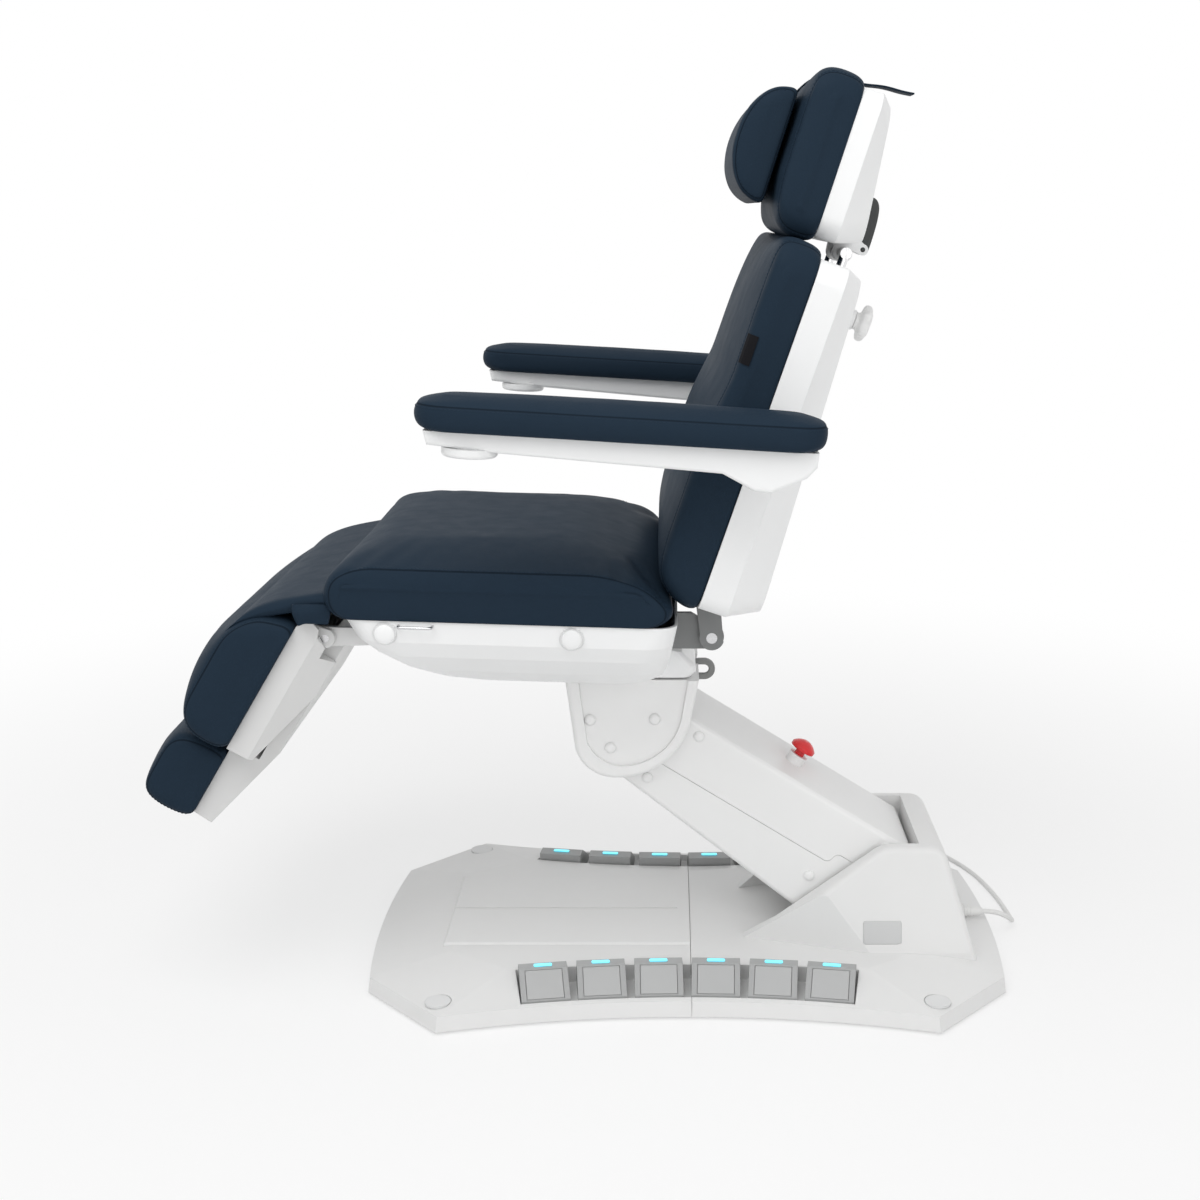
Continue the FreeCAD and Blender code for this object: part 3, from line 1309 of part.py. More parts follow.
def wire_loop(side):
    """A wire that stands out from the shell's side and runs along it."""
    x0, x1 = d.loop_front_x.value, d.loop_front_x.value + d.loop_length.value
    near_y, far_y = side * d.shell_half_width.value, side * (d.shell_half_width.value + d.loop_reach.value)
    z, bend = -d.loop_drop.value, 5.0
    inset = side * bend
    slant = bend * (1 - math.sqrt(0.5))
    points = [V(x0, near_y, z), V(x0, far_y - inset, z), V(x0 + slant, far_y - side * slant, z),
              V(x0 + bend, far_y, z),
              V(x1 - bend, far_y, z), V(x1 - slant, far_y - side * slant, z), V(x1, far_y - inset, z),
              V(x1, near_y, z)]
    edges = [
        Part.LineSegment(points[0], points[1]), Part.Arc(points[1], points[2], points[3]),
        Part.LineSegment(points[3], points[4]), Part.Arc(points[4], points[5], points[6]),
        Part.LineSegment(points[6], points[7]),
    ]
    path = Part.Wire([edge.toShape() for edge in edges])
    ring = Part.Wire([Part.Circle(points[0], V(0, side, 0), d.loop_wire_radius.value).toShape()])
    return path.makePipeShell([ring], True, False)


feature("strap_loops", Part.makeCompound([wire_loop(-1), wire_loop(1)]), SEAT)


# Upholstery: lofts through outlines whose sides draw in a little between their corners

def soft_outline(along, across, corner, draw_in, place):
    """One outline from along[0] to along[1], half as wide as across on each side of the middle."""
    low, high = (item.value if isinstance(item, Size) else item for item in along)
    half = across.value if isinstance(across, Size) else across
    middle = (low + high) / 2
    draw_in = max(draw_in, 0.2)
    bend = corner * (1 - math.sqrt(0.5))
    sides = [
        ((low + corner, -half), (middle, draw_in - half), (high - corner, -half)),
        ((high - corner, -half), (high - bend, bend - half), (high, corner - half)),
        ((high, corner - half), (high - draw_in, 0), (high, half - corner)),
        ((high, half - corner), (high - bend, half - bend), (high - corner, half)),
        ((high - corner, half), (middle, half - draw_in), (low + corner, half)),
        ((low + corner, half), (low + bend, half - bend), (low, half - corner)),
        ((low, half - corner), (low + draw_in, 0), (low, corner - half)),
        ((low, corner - half), (low + bend, bend - half), (low + corner, -half)),
    ]
    return Part.Wire([Part.Arc(*(place(*point) for point in side)).toShape() for side in sides])


def cushion(label, frame, rows, place):
    """rows: (height, low end, high end, half width, corner, draw in); place turns them into space."""
    wires = []
    for height, low, high, half, corner, draw_in in rows:
        level = size(height).value
        wires.append(soft_outline((low, high), half, corner, draw_in, lambda a, b, h=level: place(a, b, h)))
    return feature(label, Part.makeLoft(wires, True, True), frame)


def lying(a, b, height):
    return V(a, b, height)


def leaning(a, b, height):
    return V(-height, b, a)


top = d.seat_cushion_height
half = d.shell_half_width + d.seat_overhang
cushion("seat_cushion", SEAT, [
    (0, -d.seat_front + 24, d.seat_rear - 26, half - 10, 34, 2),
    (top * 0.13, -d.seat_front + 8, d.seat_rear - 6, half - 2, 40, 3),
    (top * 0.3, -d.seat_front + 2, d.seat_rear, half, 42, 4),
    (top * 0.5, -d.seat_front, d.seat_rear - 12, half, 42, 4),
    (top * 0.72, -d.seat_front + 4, d.seat_rear - 32, half, 42, 4),
    (top * 0.9, -d.seat_front + 14, d.seat_rear - 57, half - 3, 44, 4),
    (top, -d.seat_front + 28, d.seat_rear - 86, half - 9, 46, 5),
    (top + d.seat_crown * 0.75, -d.seat_front + 70, d.seat_rear - 130, half - 55, 60, 3),
    (top + d.seat_crown, -d.seat_front + 120, d.seat_rear - 170, half - 120, 60, 0),
], lying)


# Back

back_frame = new_body("back_frame", BACK)
rail = pad(back_frame, "XZ", [[
    (0, -eye, eye), (eye, 0), (d.back_rail_rear, d.back_shell_bottom), (d.back_rail_rear, d.back_rail_top),
    (d.back_rail_front, d.back_rail_top), (d.back_rail_front, eye * 2), (-eye, 0, eye),
]], d.rail_thickness, level=back_lug_in)
mirror(back_frame, [rail])
beam_z = d.back_beam_lower_z
pad(back_frame, "XZ", [rectangle(d.back_rail_front, d.back_rail_rear, beam_z, beam_z + d.back_beam_height)],
    back_lug_in * 2, both=True)
pad(back_frame, "XZ",
    [rectangle(d.back_rail_front, d.post_x + d.post_radius + 4, d.back_rail_top - d.back_beam_height,
               d.back_rail_top)],
    back_lug_in * 2, both=True)
shaft_end = d.armrest_y - d.armrest_support_half_width / 3
shaft = pad(back_frame, "XZ", [("circle", d.armrest_x, d.armrest_z, d.armrest_shaft_radius)],
            shaft_end - back_lug_in, level=back_lug_in)
mirror(back_frame, [shaft])
post_circles = [("circle", d.post_x, y, d.post_radius + d.running_gap) for y in (-d.post_y, d.post_y)]
pocket(back_frame, "XY", post_circles, d.back_beam_height + 2, level=d.back_rail_top + 1)
pocket(back_frame, "XZ", [("circle", 0, 0, d.hinge_pin_radius + d.running_gap)], back_lug_out * 2 + 2,
       both=True)


def tray(body, bottom, top_z, half, front, edge, rear, slant, inset, wall):
    """A dished shell behind a cushion: straight edge, then a bevel to a smaller rear face."""
    for kind, draw_in in (("Additive", size(0)), ("Subtractive", wall)):
        rows = [
            (front, upright(rounded(bottom + draw_in, top_z - draw_in, half - draw_in, 30))),
            (edge, upright(rounded(bottom + draw_in, top_z - draw_in, half - draw_in, 30))),
            (rear - draw_in, upright(rounded(bottom + 12 + draw_in, top_z - 8 - draw_in,
                                             half - inset - draw_in, 36)), -slant),
        ]
        loft(body, kind, "YZ", rows, ruled=True)


back_shell = new_body("back_shell", BACK)
tray(back_shell, d.back_shell_bottom, d.back_shell_top, d.back_half_width, d.back_shell_front,
     d.back_shell_edge,
     d.back_shell_rear, d.back_shell_slant, d.back_shell_rear_inset, d.shell_wall)
rear_at_knob = d.back_shell_rear - d.knob_z * sine(d.back_shell_slant)
pad(back_shell, "YZ", [("circle", 0, d.knob_z, d.knob_boss_radius)], d.knob_boss_length - rear_at_knob + 3,
    level=rear_at_knob - 3)
pocket(back_shell, "YZ", [("circle", 0, d.knob_z, d.knob_stem_radius + d.running_gap)], d.knob_boss_length,
       level=d.knob_boss_length + 1)
pocket(back_shell, "XY", [("circle", d.post_x, y, d.post_radius + 2) for y in (-d.post_y, d.post_y)],
       size(20), level=d.back_shell_top + 4)
pocket(back_shell, "XZ", [("circle", d.armrest_x, d.armrest_z, d.armrest_shaft_radius + 2)],
       d.back_half_width * 2 + 4, both=True)
rail_slot = rectangle(d.back_rail_front, d.back_rail_rear + 6, d.back_shell_bottom - 2,
                      d.back_shell_bottom + 30)
for side, turned in ((1, False), (-1, True)):
    pocket(back_shell, "XZ", [rail_slot], d.rail_thickness, level=back_lug_out * side, reverse=turned)

front = -d.back_shell_front
low, high = d.back_cushion_bottom, d.back_cushion_top
thick = d.back_cushion_thickness
half = d.back_half_width
cushion("back_cushion", BACK, [
    (front, low + 6, high - 6, half - 9, 34, 2),
    (front + thick * 0.12, low, high, half - 1, 40, 3),
    (front + thick * 0.5, low + 9, high + 1, half, 42, 4),
    (front + thick * 0.8, low + 26, high, half - 1, 44, 4),
    (front + thick, low + 46, high - 8, half - 7, 46, 5),
    (front + thick + d.back_crown * 0.7, low + 84, high - 44, half - 46, 60, 3),
    (front + thick + d.back_crown, low + 140, high - 110, half - 110, 60, 0),
], leaning)

KNOB = BACK.child(d.knob_boss_length + d.knob_gap, d.knob_z, d.back_lean)
clamp_knob = new_body("clamp_knob", KNOB)
pad(clamp_knob, "YZ", [("circle", 0, 0, d.knob_core_radius)], d.knob_thickness + 4)
lobe = pad(clamp_knob, "YZ", [("circle", d.knob_lobe_circle, 0, d.knob_lobe_radius)], d.knob_thickness)
polar(clamp_knob, [lobe], 5, size(288), "X_Axis")
pad(clamp_knob, "YZ", [("circle", 0, 0, d.knob_stem_radius)], d.knob_boss_length - rear_at_knob,
    reverse=True)


# Headrest

head_posts = new_body("head_posts", BACK)
for y in (-d.post_y, d.post_y):
    pad(head_posts, "XY", [("circle", d.post_x, y, d.post_radius)], d.head_hinge_z - d.post_foot_z,
        level=d.post_foot_z)
pad(head_posts, "XZ", [("circle", d.post_x, d.head_hinge_z, d.head_tube_radius)],
    (d.post_y + d.post_radius) * 2 + 4,
    both=True)

head_shell = new_body("head_shell", HEAD)
tray(head_shell, d.head_shell_bottom, d.head_shell_top, d.head_half_width - 4, d.head_shell_front,
     d.head_shell_edge,
     d.head_shell_rear, d.head_shell_slant, d.head_shell_rear_inset, d.shell_wall)
pocket(head_shell, "XZ", [rectangle(-size(22), 30, -size(4), d.head_shell_bottom + 9)],
       d.head_notch_half_width * 2, both=True)
tube = d.head_tube_radius
lug = pad(head_shell, "XZ", [
    [(-tube - 6, 0, tube + 6), (0, -tube - 6, tube + 6), (tube + 6, 0), (d.head_shell_rear - 3, 9), (4, 60),
     (-size(20), 50)],
    ("circle", 0, 0, tube + d.running_gap),
], d.head_lug_width, level=d.head_lug_y)
mirror(head_shell, [lug])
ear_in = d.head_lever_width / 2 + 1
ear_radius = d.head_lever_pin_radius + 4.5
lever_x, lever_z = d.head_lever_x, d.head_lever_z
ear = pad(head_shell, "XZ", [
    [(10, lever_z - 6), (lever_x, lever_z - ear_radius, ear_radius),
     (lever_x + ear_radius, lever_z, ear_radius),
     (lever_x, lever_z + ear_radius), (8, lever_z + 18)],
    ("circle", lever_x, lever_z, d.head_lever_pin_radius + d.running_gap),
], d.head_lever_ear, level=ear_in)
mirror(head_shell, [ear])

front = -d.head_shell_front
low, high = d.head_cushion_bottom, d.head_cushion_top
thick = d.head_cushion_thickness
half = d.head_half_width
cushion("head_cushion", HEAD, [
    (front, low + 6, high - 6, half - 9, 34, 1),
    (front + thick * 0.13, low, high, half - 1, 40, 2),
    (front + thick * 0.65, low, high + 1, half, 42, 3),
    (front + thick * 0.9, low + 5, high - 4, half - 3, 44, 4),
    (front + thick, low + 12, high - 10, half - 9, 46, 4),
    (front + thick + d.head_crown * 0.7, low + 36, high - 34, half - 40, 50, 2),
    (front + thick + d.head_crown, low + 62, high - 60, half - 76, 46, 0),
], leaning)

LEVER_PIN = HEAD.child(lever_x, lever_z, d.back_lean + d.head_lean)
head_lever = new_body("head_lever", LEVER_PIN)
thick = d.head_lever_thickness / 2
high = d.head_lever_height
pad(head_lever, "XZ", [[
    (-thick, -thick), (thick, -thick), (thick + 1, high * 0.45), (thick + 4, high - thick),
    (thick - 4, high),
    (-thick / 2, high * 0.5),
]], d.head_lever_width, both=True)
soften(head_lever, "Fillet", 3, lambda middle, edge: middle.z > high.value * 0.3)
pad(head_lever, "XZ", [("circle", 0, 0, d.head_lever_pin_radius)], (ear_in + d.head_lever_ear) * 2,
    both=True)

face = -d.head_shell_front + d.head_cushion_thickness + d.head_crown
bolster_back = face + d.strap_thickness


def bolster_outline(y, share):
    """A D: flat at the back, round in front, drawn in towards its middle by share."""
    middle = d.pillow_bottom.value + d.pillow_height.value / 2
    reach = d.pillow_height.value / 2 * share
    back, depth = -bolster_back.value, d.pillow_depth.value * share
    low, high = V(back, y, middle - reach), V(back, y, middle + reach)
    fronts = [V(back - depth * across, y, middle + reach * up) for across, up in (
        (0.62, -0.8), (1.0, 0.0), (0.62, 0.8))]
    arcs = [Part.Arc(low, V(back - depth * 0.3, y, middle - reach * 0.97), fronts[0]),
            Part.Arc(fronts[0], fronts[1], fronts[2]),
            Part.Arc(fronts[2], V(back - depth * 0.3, y, middle + reach * 0.97), high)]
    return Part.Wire([arc.toShape() for arc in arcs] + [Part.LineSegment(high, low).toShape()])


end = d.pillow_half_length.value
feature("head_pillow", Part.makeLoft([
    bolster_outline(y, share) for y, share in (
        (-end, 0.72), (-end + 9, 0.9), (-end + 30, 0.98), (-end / 2, 1.0), (end / 2, 1.0), (end - 30, 0.98),
        (end - 9, 0.9), (end, 0.72))
], True, False), HEAD)

pillow_strap = new_body("pillow_strap", HEAD)
over_top = d.head_cushion_top + 3
back_x = -face
thin = d.strap_thickness
pad(pillow_strap, "XZ", [[
    (back_x - thin, d.pillow_bottom + 90), (back_x, d.pillow_bottom + 90), (back_x, over_top - 18),
    (back_x + 12, over_top), (d.head_shell_front + 4, over_top + 1),
    (d.head_shell_front + d.strap_tail, over_top + 12),
    (d.head_shell_front + d.strap_tail - 1, over_top + 12 + thin),
    (d.head_shell_front + 3, over_top + 1 + thin),
    (back_x + 11, over_top + thin), (back_x - thin, over_top - 16),
]], d.strap_half_width * 2, both=True)


# Armrests

def armrest(name, side):
    """side is -1 on the patient's left."""
    turned = side > 0
    level = -side * d.armrest_y
    support = new_body(f"arm_support_{name}", ARMREST)
    low = d.armrest_pad_bottom
    front = -d.armrest_front
    pad(support, "XZ", [[
        (front + 11, low), (front + 16, low - 18), (front + 106, low - 24), (-size(75), low - 33),
        (-size(33), low - 53),
        (-size(12), low - 54), (32, low - 33), (44, low - 19), (45, low),
    ]], d.armrest_support_half_width * 2, level=level, both=True)
    soften(support, "Fillet", 5, lambda middle, edge: middle.z < low.value - 1
           and near(abs(abs(middle.y) - d.armrest_y.value), d.armrest_support_half_width, 0.1))
    inner = d.back_half_width + d.armrest_boss_gap
    pad(support, "XZ", [("circle", 0, 0, d.armrest_boss_radius)],
        d.armrest_y - inner, level=-side * inner, reverse=turned)
    pocket(support, "XZ", [("circle", 0, 0, d.armrest_shaft_radius + d.running_gap)],
           shaft_end + 2 - inner + 1, level=-side * (shaft_end + 2), reverse=turned)
    pad(support, "XY", [("circle", -d.armrest_disc_x, side * d.armrest_y, d.armrest_disc_radius)],
        size(12), level=d.armrest_disc_bottom)
    soften(support, "Fillet", 5, lambda middle, edge: near(middle.z, d.armrest_disc_bottom, 0.1))
    thick = d.armrest_pad_thickness
    half = d.armrest_pad_half_width
    middle_y = (side * d.armrest_y).value
    cushion(f"arm_pad_{name}", ARMREST, [
        (low, front + 14, d.armrest_rear - 14, half - 8, 24, 0),
        (low + thick * 0.14, front + 4, d.armrest_rear - 3, half - 1, 30, 1),
        (low + thick * 0.4, front, d.armrest_rear, half, 32, 1),
        (low + thick * 0.68, front + 2, d.armrest_rear - 1, half, 32, 1),
        (low + thick * 0.85, front + 10, d.armrest_rear - 8, half - 7, 30, 1),
        (low + thick, front + 34, d.armrest_rear - 30, half - 27, 18, 0),
    ], lambda a, b, height: V(a, b + middle_y, height))


armrest("left", -1)
armrest("right", 1)


# Leg rest, drawn along -X from the knee, and the footrest that slides in it

leg_tray = new_body("leg_tray", LEG)
low_end = -d.leg_tray_length
deck = d.leg_tray_top
tray_low = d.leg_tray_depth
pad(leg_tray, "XZ", [[
    (18, deck - 11), (0, deck), (low_end, deck), (low_end + 1, 2), (low_end + d.leg_tray_cut, tray_low),
    (-size(26), tray_low), (0, d.leg_tray_fold), (12, d.leg_tray_fold + 4),
]], d.leg_tray_half_width * 2, both=True)
wall = d.leg_tray_wall
fold_out = d.leg_tray_half_width + wall
under = tray_low - wall
bevel_in = d.leg_tray_half_width - d.leg_tray_bevel
for side in (-1, 1):
    bevel = [
        (side * d.leg_tray_half_width, d.leg_tray_fold), (side * fold_out, d.leg_tray_fold),
        (side * fold_out, under), (side * bevel_in, under), (side * bevel_in, tray_low),
    ]
    pocket(leg_tray, "YZ", [bevel if side < 0 else bevel[::-1]], d.leg_tray_length + 60, level=40)
pocket(leg_tray, "XZ", [[
    (low_end + wall, d.leg_tray_fold), (40, d.leg_tray_fold), (40, deck - 11 - wall),
    (19, deck - 11 - wall),
    (-size(2), deck - wall), (low_end + wall, deck - wall),
]], d.leg_tray_half_width * 2 - wall * 2, both=True)
pocket(leg_tray, "XZ", [rectangle(low_end - wall, 40, under, d.leg_tray_fold + 1)],
       d.carriage_half_width * 2 + wall, both=True)
pocket(leg_tray, "XZ", [rectangle(-knee_eye * 2, 40, under, d.leg_tray_fold + 1)],
       leg_lug_out * 2 + wall, both=True)
lug = pad(leg_tray, "XZ", [[
    (-knee_eye, 0, knee_eye), (0, -knee_eye, knee_eye), (knee_eye, 0), (6, deck - wall - 2),
    (-size(8), deck - 2),
    (-size(34), deck - 2), (-size(34), deck - 22),
]], d.knee_plate_thickness, level=leg_lug_in)
mirror(leg_tray, [lug])
pocket(leg_tray, "XZ", [("circle", 0, 0, d.knee_pin_radius + d.running_gap)], leg_lug_out * 2, both=True)
guide_half = d.guide_rod_radius * 2
for y in (-d.guide_rod_y, d.guide_rod_y):
    pad(leg_tray, "YZ", [rectangle(y - guide_half, y + guide_half, d.guide_rod_z - guide_half,
                                   deck - wall / 2)],
        size(34), level=low_end + 1)
rod_bores = [("circle", y, d.guide_rod_z, d.guide_rod_radius + d.running_gap)
             for y in (-d.guide_rod_y, d.guide_rod_y)]
pocket(leg_tray, "YZ", rod_bores, size(44), level=low_end + 40)

half = d.leg_half_width
rise = d.leg_cushion_height
cushion("leg_cushion", LEG, [
    (deck, low_end + 9, 0, half - 12, 30, 1),
    (deck + rise * 0.1, low_end - 1, 4, half - 2, 36, 2),
    (deck + rise * 0.34, low_end - 4, -size(2), half, 38, 3),
    (deck + rise * 0.55, low_end - 4, -size(9), half, 38, 3),
    (deck + rise * 0.77, low_end, -size(30), half - 1, 38, 3),
    (deck + rise * 0.91, low_end + 12, -size(52), half - 5, 38, 3),
    (deck + rise, low_end + 32, -size(84), half - 16, 30, 2),
    (deck + rise + d.leg_crown, low_end + 62, -size(104), half - 90, 16, 0),
], lying)

foot_carriage = new_body("foot_carriage", LEG)
heel = d.carriage_top - d.carriage_depth
pad(foot_carriage, "XZ", [[
    (-d.carriage_length, heel + 37), (-d.carriage_length + 145, heel + 2), (-size(4), heel),
    (0, d.carriage_top),
    (-d.carriage_step, d.carriage_top), (-d.carriage_step, d.carriage_shelf),
    (2 - d.carriage_length, d.carriage_shelf),
]], d.carriage_half_width * 2, both=True)
pocket(foot_carriage, "XZ", [[
    (-d.carriage_step + 8, heel + 8), (-size(12), heel + 6), (-size(12), d.carriage_top + 1),
    (-d.carriage_step + 8, d.carriage_top + 1),
]], d.carriage_half_width * 2 - 12, both=True)
rods = [("circle", y, d.guide_rod_z, d.guide_rod_radius) for y in (-d.guide_rod_y, d.guide_rod_y)]
pad(foot_carriage, "YZ", rods, d.guide_rod_length, level=-d.carriage_step)

shelf = d.carriage_shelf
front = -d.carriage_step - 6 - d.foot_cushion_length
rear = -d.carriage_step - 6
half = d.foot_half_width
rise = d.foot_cushion_height
cushion("foot_cushion", LEG, [
    (shelf, front + 10, rear - 6, half - 12, 26, 1),
    (shelf + rise * 0.12, front + 3, rear, half - 2, 32, 2),
    (shelf + rise * 0.5, front, rear, half, 34, 2),
    (shelf + rise * 0.85, front + 2, rear - 8, half - 2, 34, 2),
    (shelf + rise, front + 12, rear - 26, half - 12, 28, 2),
    (shelf + rise + d.foot_crown, front + 34, rear - 50, half - 60, 14, 0),
], lying)


# Mains lead: out of the tower, over the base's rim, down to the floor and into a coil behind it

cord_gland = new_body("cord_gland", BASE)
back_slope = (d.tower_heel_x - d.tower_back_x) / (d.tower_top_z - d.rim_top_z - d.cover_wall)


def tower_back(z):
    return d.tower_heel_x - (z - d.rim_top_z - d.cover_wall) * back_slope


gland_top = d.gland_bottom + d.gland_height
pad(cord_gland, "XZ", [[
    (tower_back(d.gland_bottom), d.gland_bottom), (d.gland_rear_x, d.gland_bottom),
    (d.gland_rear_x - 5, gland_top), (tower_back(gland_top), gland_top),
]], d.gland_half_width * 2, both=True)
boot_end = d.gland_rear_x + d.boot_length
pad(cord_gland, "YZ", [("circle", 0, d.cord_exit_z, d.boot_radius)], d.boot_length + 4,
    level=d.gland_rear_x - 4)


def bent(start, corner, end):
    """The arc from start to end whose tangents meet at corner."""
    chord = end - start
    lean = (corner - start).getAngle(chord)
    if lean < 1e-4:
        return Part.LineSegment(start, end).toShape()
    middle = (start + end) * 0.5
    rise = chord.Length / 2 * math.tan(lean / 2)
    return Part.Arc(start, middle + (corner - middle).normalize() * rise, end).toShape()


def route(knots):
    """Lines and biarcs through knots, each a place and the way that the lead goes there."""
    edges = []
    for (start, leaving), (end, arriving) in zip(knots, knots[1:]):
        gap = end - start
        if gap.getAngle(leaving) < 1e-4 and gap.getAngle(arriving) < 1e-4:
            edges.append(Part.LineSegment(start, end).toShape())
            continue
        along = gap.dot(leaving + arriving)
        spread = 2 * (1 - leaving.dot(arriving))
        if spread < 1e-9:
            arm = gap.dot(gap) / (2 * along)
        else:
            arm = (math.sqrt(along ** 2 + spread * gap.dot(gap)) - along) / spread
        first, last = start + leaving * arm, end - arriving * arm
        joint = (first + last) * 0.5
        edges += [bent(start, first, joint), bent(joint, last, end)]
    return Part.Wire(edges)


def sweep_round(label, path, start, leaving):
    ring = Part.Wire([Part.Circle(start, leaving, d.cord_radius.value).toShape()])
    feature(label, path.makePipeShell([ring], True, False), BASE)


def eased_route(points):
    """Straight runs between points, joined by arcs as large as the runs allow; prints their radii."""
    edges = []
    radii = []
    last = points[0]
    for before, corner, after in zip(points, points[1:], points[2:]):
        arriving, leaving = (corner - before), (after - corner)
        reach = 0.45 * min(arriving.Length, leaving.Length)
        radii.append(reach / math.tan(arriving.getAngle(leaving) / 2))
        start = corner - arriving.normalize() * reach
        end = corner + leaving.normalize() * reach
        edges += [Part.LineSegment(last, start).toShape(), bent(start, corner, end)]
        last = end
    edges.append(Part.LineSegment(last, points[-1]).toShape())
    print("cord: radii", " ".join(f"{radius:.0f}" for radius in radii))
    return Part.Wire(edges)


floor_z = d.cord_radius.value
step = d.coil_step.value
coil_x, coil_y = d.coil_x.value, d.coil_y.value
half_winding = d.coil_turns_per_layer.value * 2 * math.pi
coil_out = d.coil_inner_radius.value + d.coil_turns_per_layer.value * step
entry_x = coil_x + coil_out
lead = [
    V(boot_end.value, 0, d.cord_exit_z.value), V(500, 0, d.cord_exit_z.value), V(522, 6, 32),
    V(536, 24, 17),
    V(541, 50, floor_z), V(539, 95, floor_z), V(531, 165, floor_z), V(512, 250, floor_z),
    V(476, 322, floor_z),
    V(entry_x, 366, floor_z), V(entry_x, coil_y - 2 * floor_z, floor_z),
]
sweep_round("mains_cord", eased_route(lead), lead[0], V(1, 0, 0))


def coil_place(turn):
    """A place on the coil: it winds in on the floor, climbs a layer at the middle, and winds out."""
    past_middle = turn - half_winding
    radius = d.coil_inner_radius.value + step * abs(past_middle) / (2 * math.pi)
    climb = min(max(past_middle / math.pi + 0.5, 0), 1)
    return V(coil_x + radius * math.cos(turn), coil_y + radius * math.sin(turn), floor_z + step * climb)


knots = [(lead[-1], V(0, 1, 0)), (V(entry_x, coil_y, floor_z), V(0, 1, 0))]
quarters = int(round(half_winding * 4 / math.pi))
for quarter in range(1, quarters):
    turn = quarter * math.pi / 2
    place, along = coil_place(turn), coil_place(turn + 0.02) - coil_place(turn - 0.02)
    if abs(turn - half_winding) > 1:
        along.z = 0
    knots.append((place, along.normalize()))
exit_place = coil_place(2 * half_winding)
tip = exit_place + V(0, 40, 0)
knots += [(exit_place, V(0, 1, 0)), (tip, V(0, 1, 0))]
coil_route = route(knots)
sweep_round("cord_coil", coil_route, *knots[0])
beads = coil_route.discretize(Distance=2.0)
far_apart = int(d.coil_inner_radius.value * 3 / 2)
least = min((beads[i] - beads[j]).Length for i in range(len(beads))
            for j in range(i + far_apart, len(beads)))
print(f"coil: least gap to itself {least - 2 * d.cord_radius.value:.2f} mm")
plug = Part.makeCylinder(tip.z, d.plug_length.value, tip, V(0, 1, 0))
face = Part.makeCylinder(tip.z * 0.65, 14, tip + V(0, d.plug_length.value, 0), V(0, 1, 0))
feature("mains_plug", plug.fuse(face), BASE)

# Export
doc.recompute()
for item in doc.Objects:
    if "Invalid" in item.State or "Error" in item.State:
        raise RuntimeError(f"{item.Label} did not build")
os.makedirs("parts", exist_ok=True)
for item in sub_parts:
    if item.Shape.isNull() or not item.Shape.isValid():
        raise RuntimeError(f"{item.Label} has no valid shape")
    item.Shape.exportStep(f"parts/{item.Label}.step")
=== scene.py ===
import math

import bmesh
import bpy
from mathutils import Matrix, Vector, noise
from mathutils.bvhtree import BVHTree


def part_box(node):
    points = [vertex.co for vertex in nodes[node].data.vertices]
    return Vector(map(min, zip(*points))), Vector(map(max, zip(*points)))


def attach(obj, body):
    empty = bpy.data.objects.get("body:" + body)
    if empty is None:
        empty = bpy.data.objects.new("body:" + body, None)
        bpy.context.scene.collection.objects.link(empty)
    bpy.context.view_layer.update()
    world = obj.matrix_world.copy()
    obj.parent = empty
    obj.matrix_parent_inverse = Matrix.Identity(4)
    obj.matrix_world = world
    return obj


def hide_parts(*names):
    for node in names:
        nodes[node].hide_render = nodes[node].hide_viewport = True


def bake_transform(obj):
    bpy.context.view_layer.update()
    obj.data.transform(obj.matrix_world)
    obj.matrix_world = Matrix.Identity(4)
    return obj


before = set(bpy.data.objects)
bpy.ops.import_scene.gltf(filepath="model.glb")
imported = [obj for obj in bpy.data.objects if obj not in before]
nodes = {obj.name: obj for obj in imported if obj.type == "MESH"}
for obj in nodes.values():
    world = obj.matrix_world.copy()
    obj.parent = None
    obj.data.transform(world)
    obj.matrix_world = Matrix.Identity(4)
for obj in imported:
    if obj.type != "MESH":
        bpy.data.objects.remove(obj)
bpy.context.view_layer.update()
scene = bpy.context.scene
scene.view_settings.view_transform = "Standard"


# Places: each group hangs at x, z in millimetres and leans back about Y, as in the CAD
def spot(place, x, z):
    c, s = math.cos(place["lean"]), math.sin(place["lean"])
    return place["x"] + x * c + z * s, place["z"] - x * s + z * c


def hang(place, x, z, lean):
    spotX, spotZ = spot(place, x, z)
    return {"x": spotX, "z": spotZ, "lean": math.radians(lean)}


def at(place, x, y, z):
    spotX, spotZ = spot(place, x, z)
    return Vector((spotX, y, spotZ)) / 1000


room = {"x": 0.0, "z": 0.0, "lean": 0.0}
baseAt = hang(room, 140.7, 0, 0)
armAt = hang(baseAt, 299, 157, 32.1)
topAt = hang(armAt, -430, 0, 0)
seatAt = hang(topAt, -180, 215, 1.8)
backAt = hang(topAt, 100, 160, 18.8)
headAt = hang(backAt, 2, 575, 17.8)
restAt = hang(backAt, -16, 296, 3.4)
legAt = hang(topAt, -441, 184, -58.7)


# Stage and camera
studio = {
    "floor": (0.9, 0.9, 0.9),
    "floorWhite": 0.6,  # how much of the floor is plain white to the camera, near the chair
    "fadeFrom": 0.7,
    "fadeTo": 2.6,
    "floorReach": 14.0,
    "skyLight": 0.6,
    "lamps": {  # place, width and watts
        "keyLamp": ((-0.7, -1.6, 3.1), 2.2, 44.0),
        "fillLamp": ((1.6, -2.8, 1.5), 2.0, 16.0),
    },
    "lampsAim": (0, 0, 0.6),
    "camera": (111.5, -2403.1, 1148.4),
    "pitch": 0.239,
    "lens": 48.0,
    "sensor": 36.0,
    "shift": -0.0564,
}


def newObject(name, data):
    item = bpy.data.objects.new(name, data)
    scene.collection.objects.link(item)
    return item


def cleanTree(owner):
    tree = owner.node_tree
    tree.nodes.clear()
    return tree


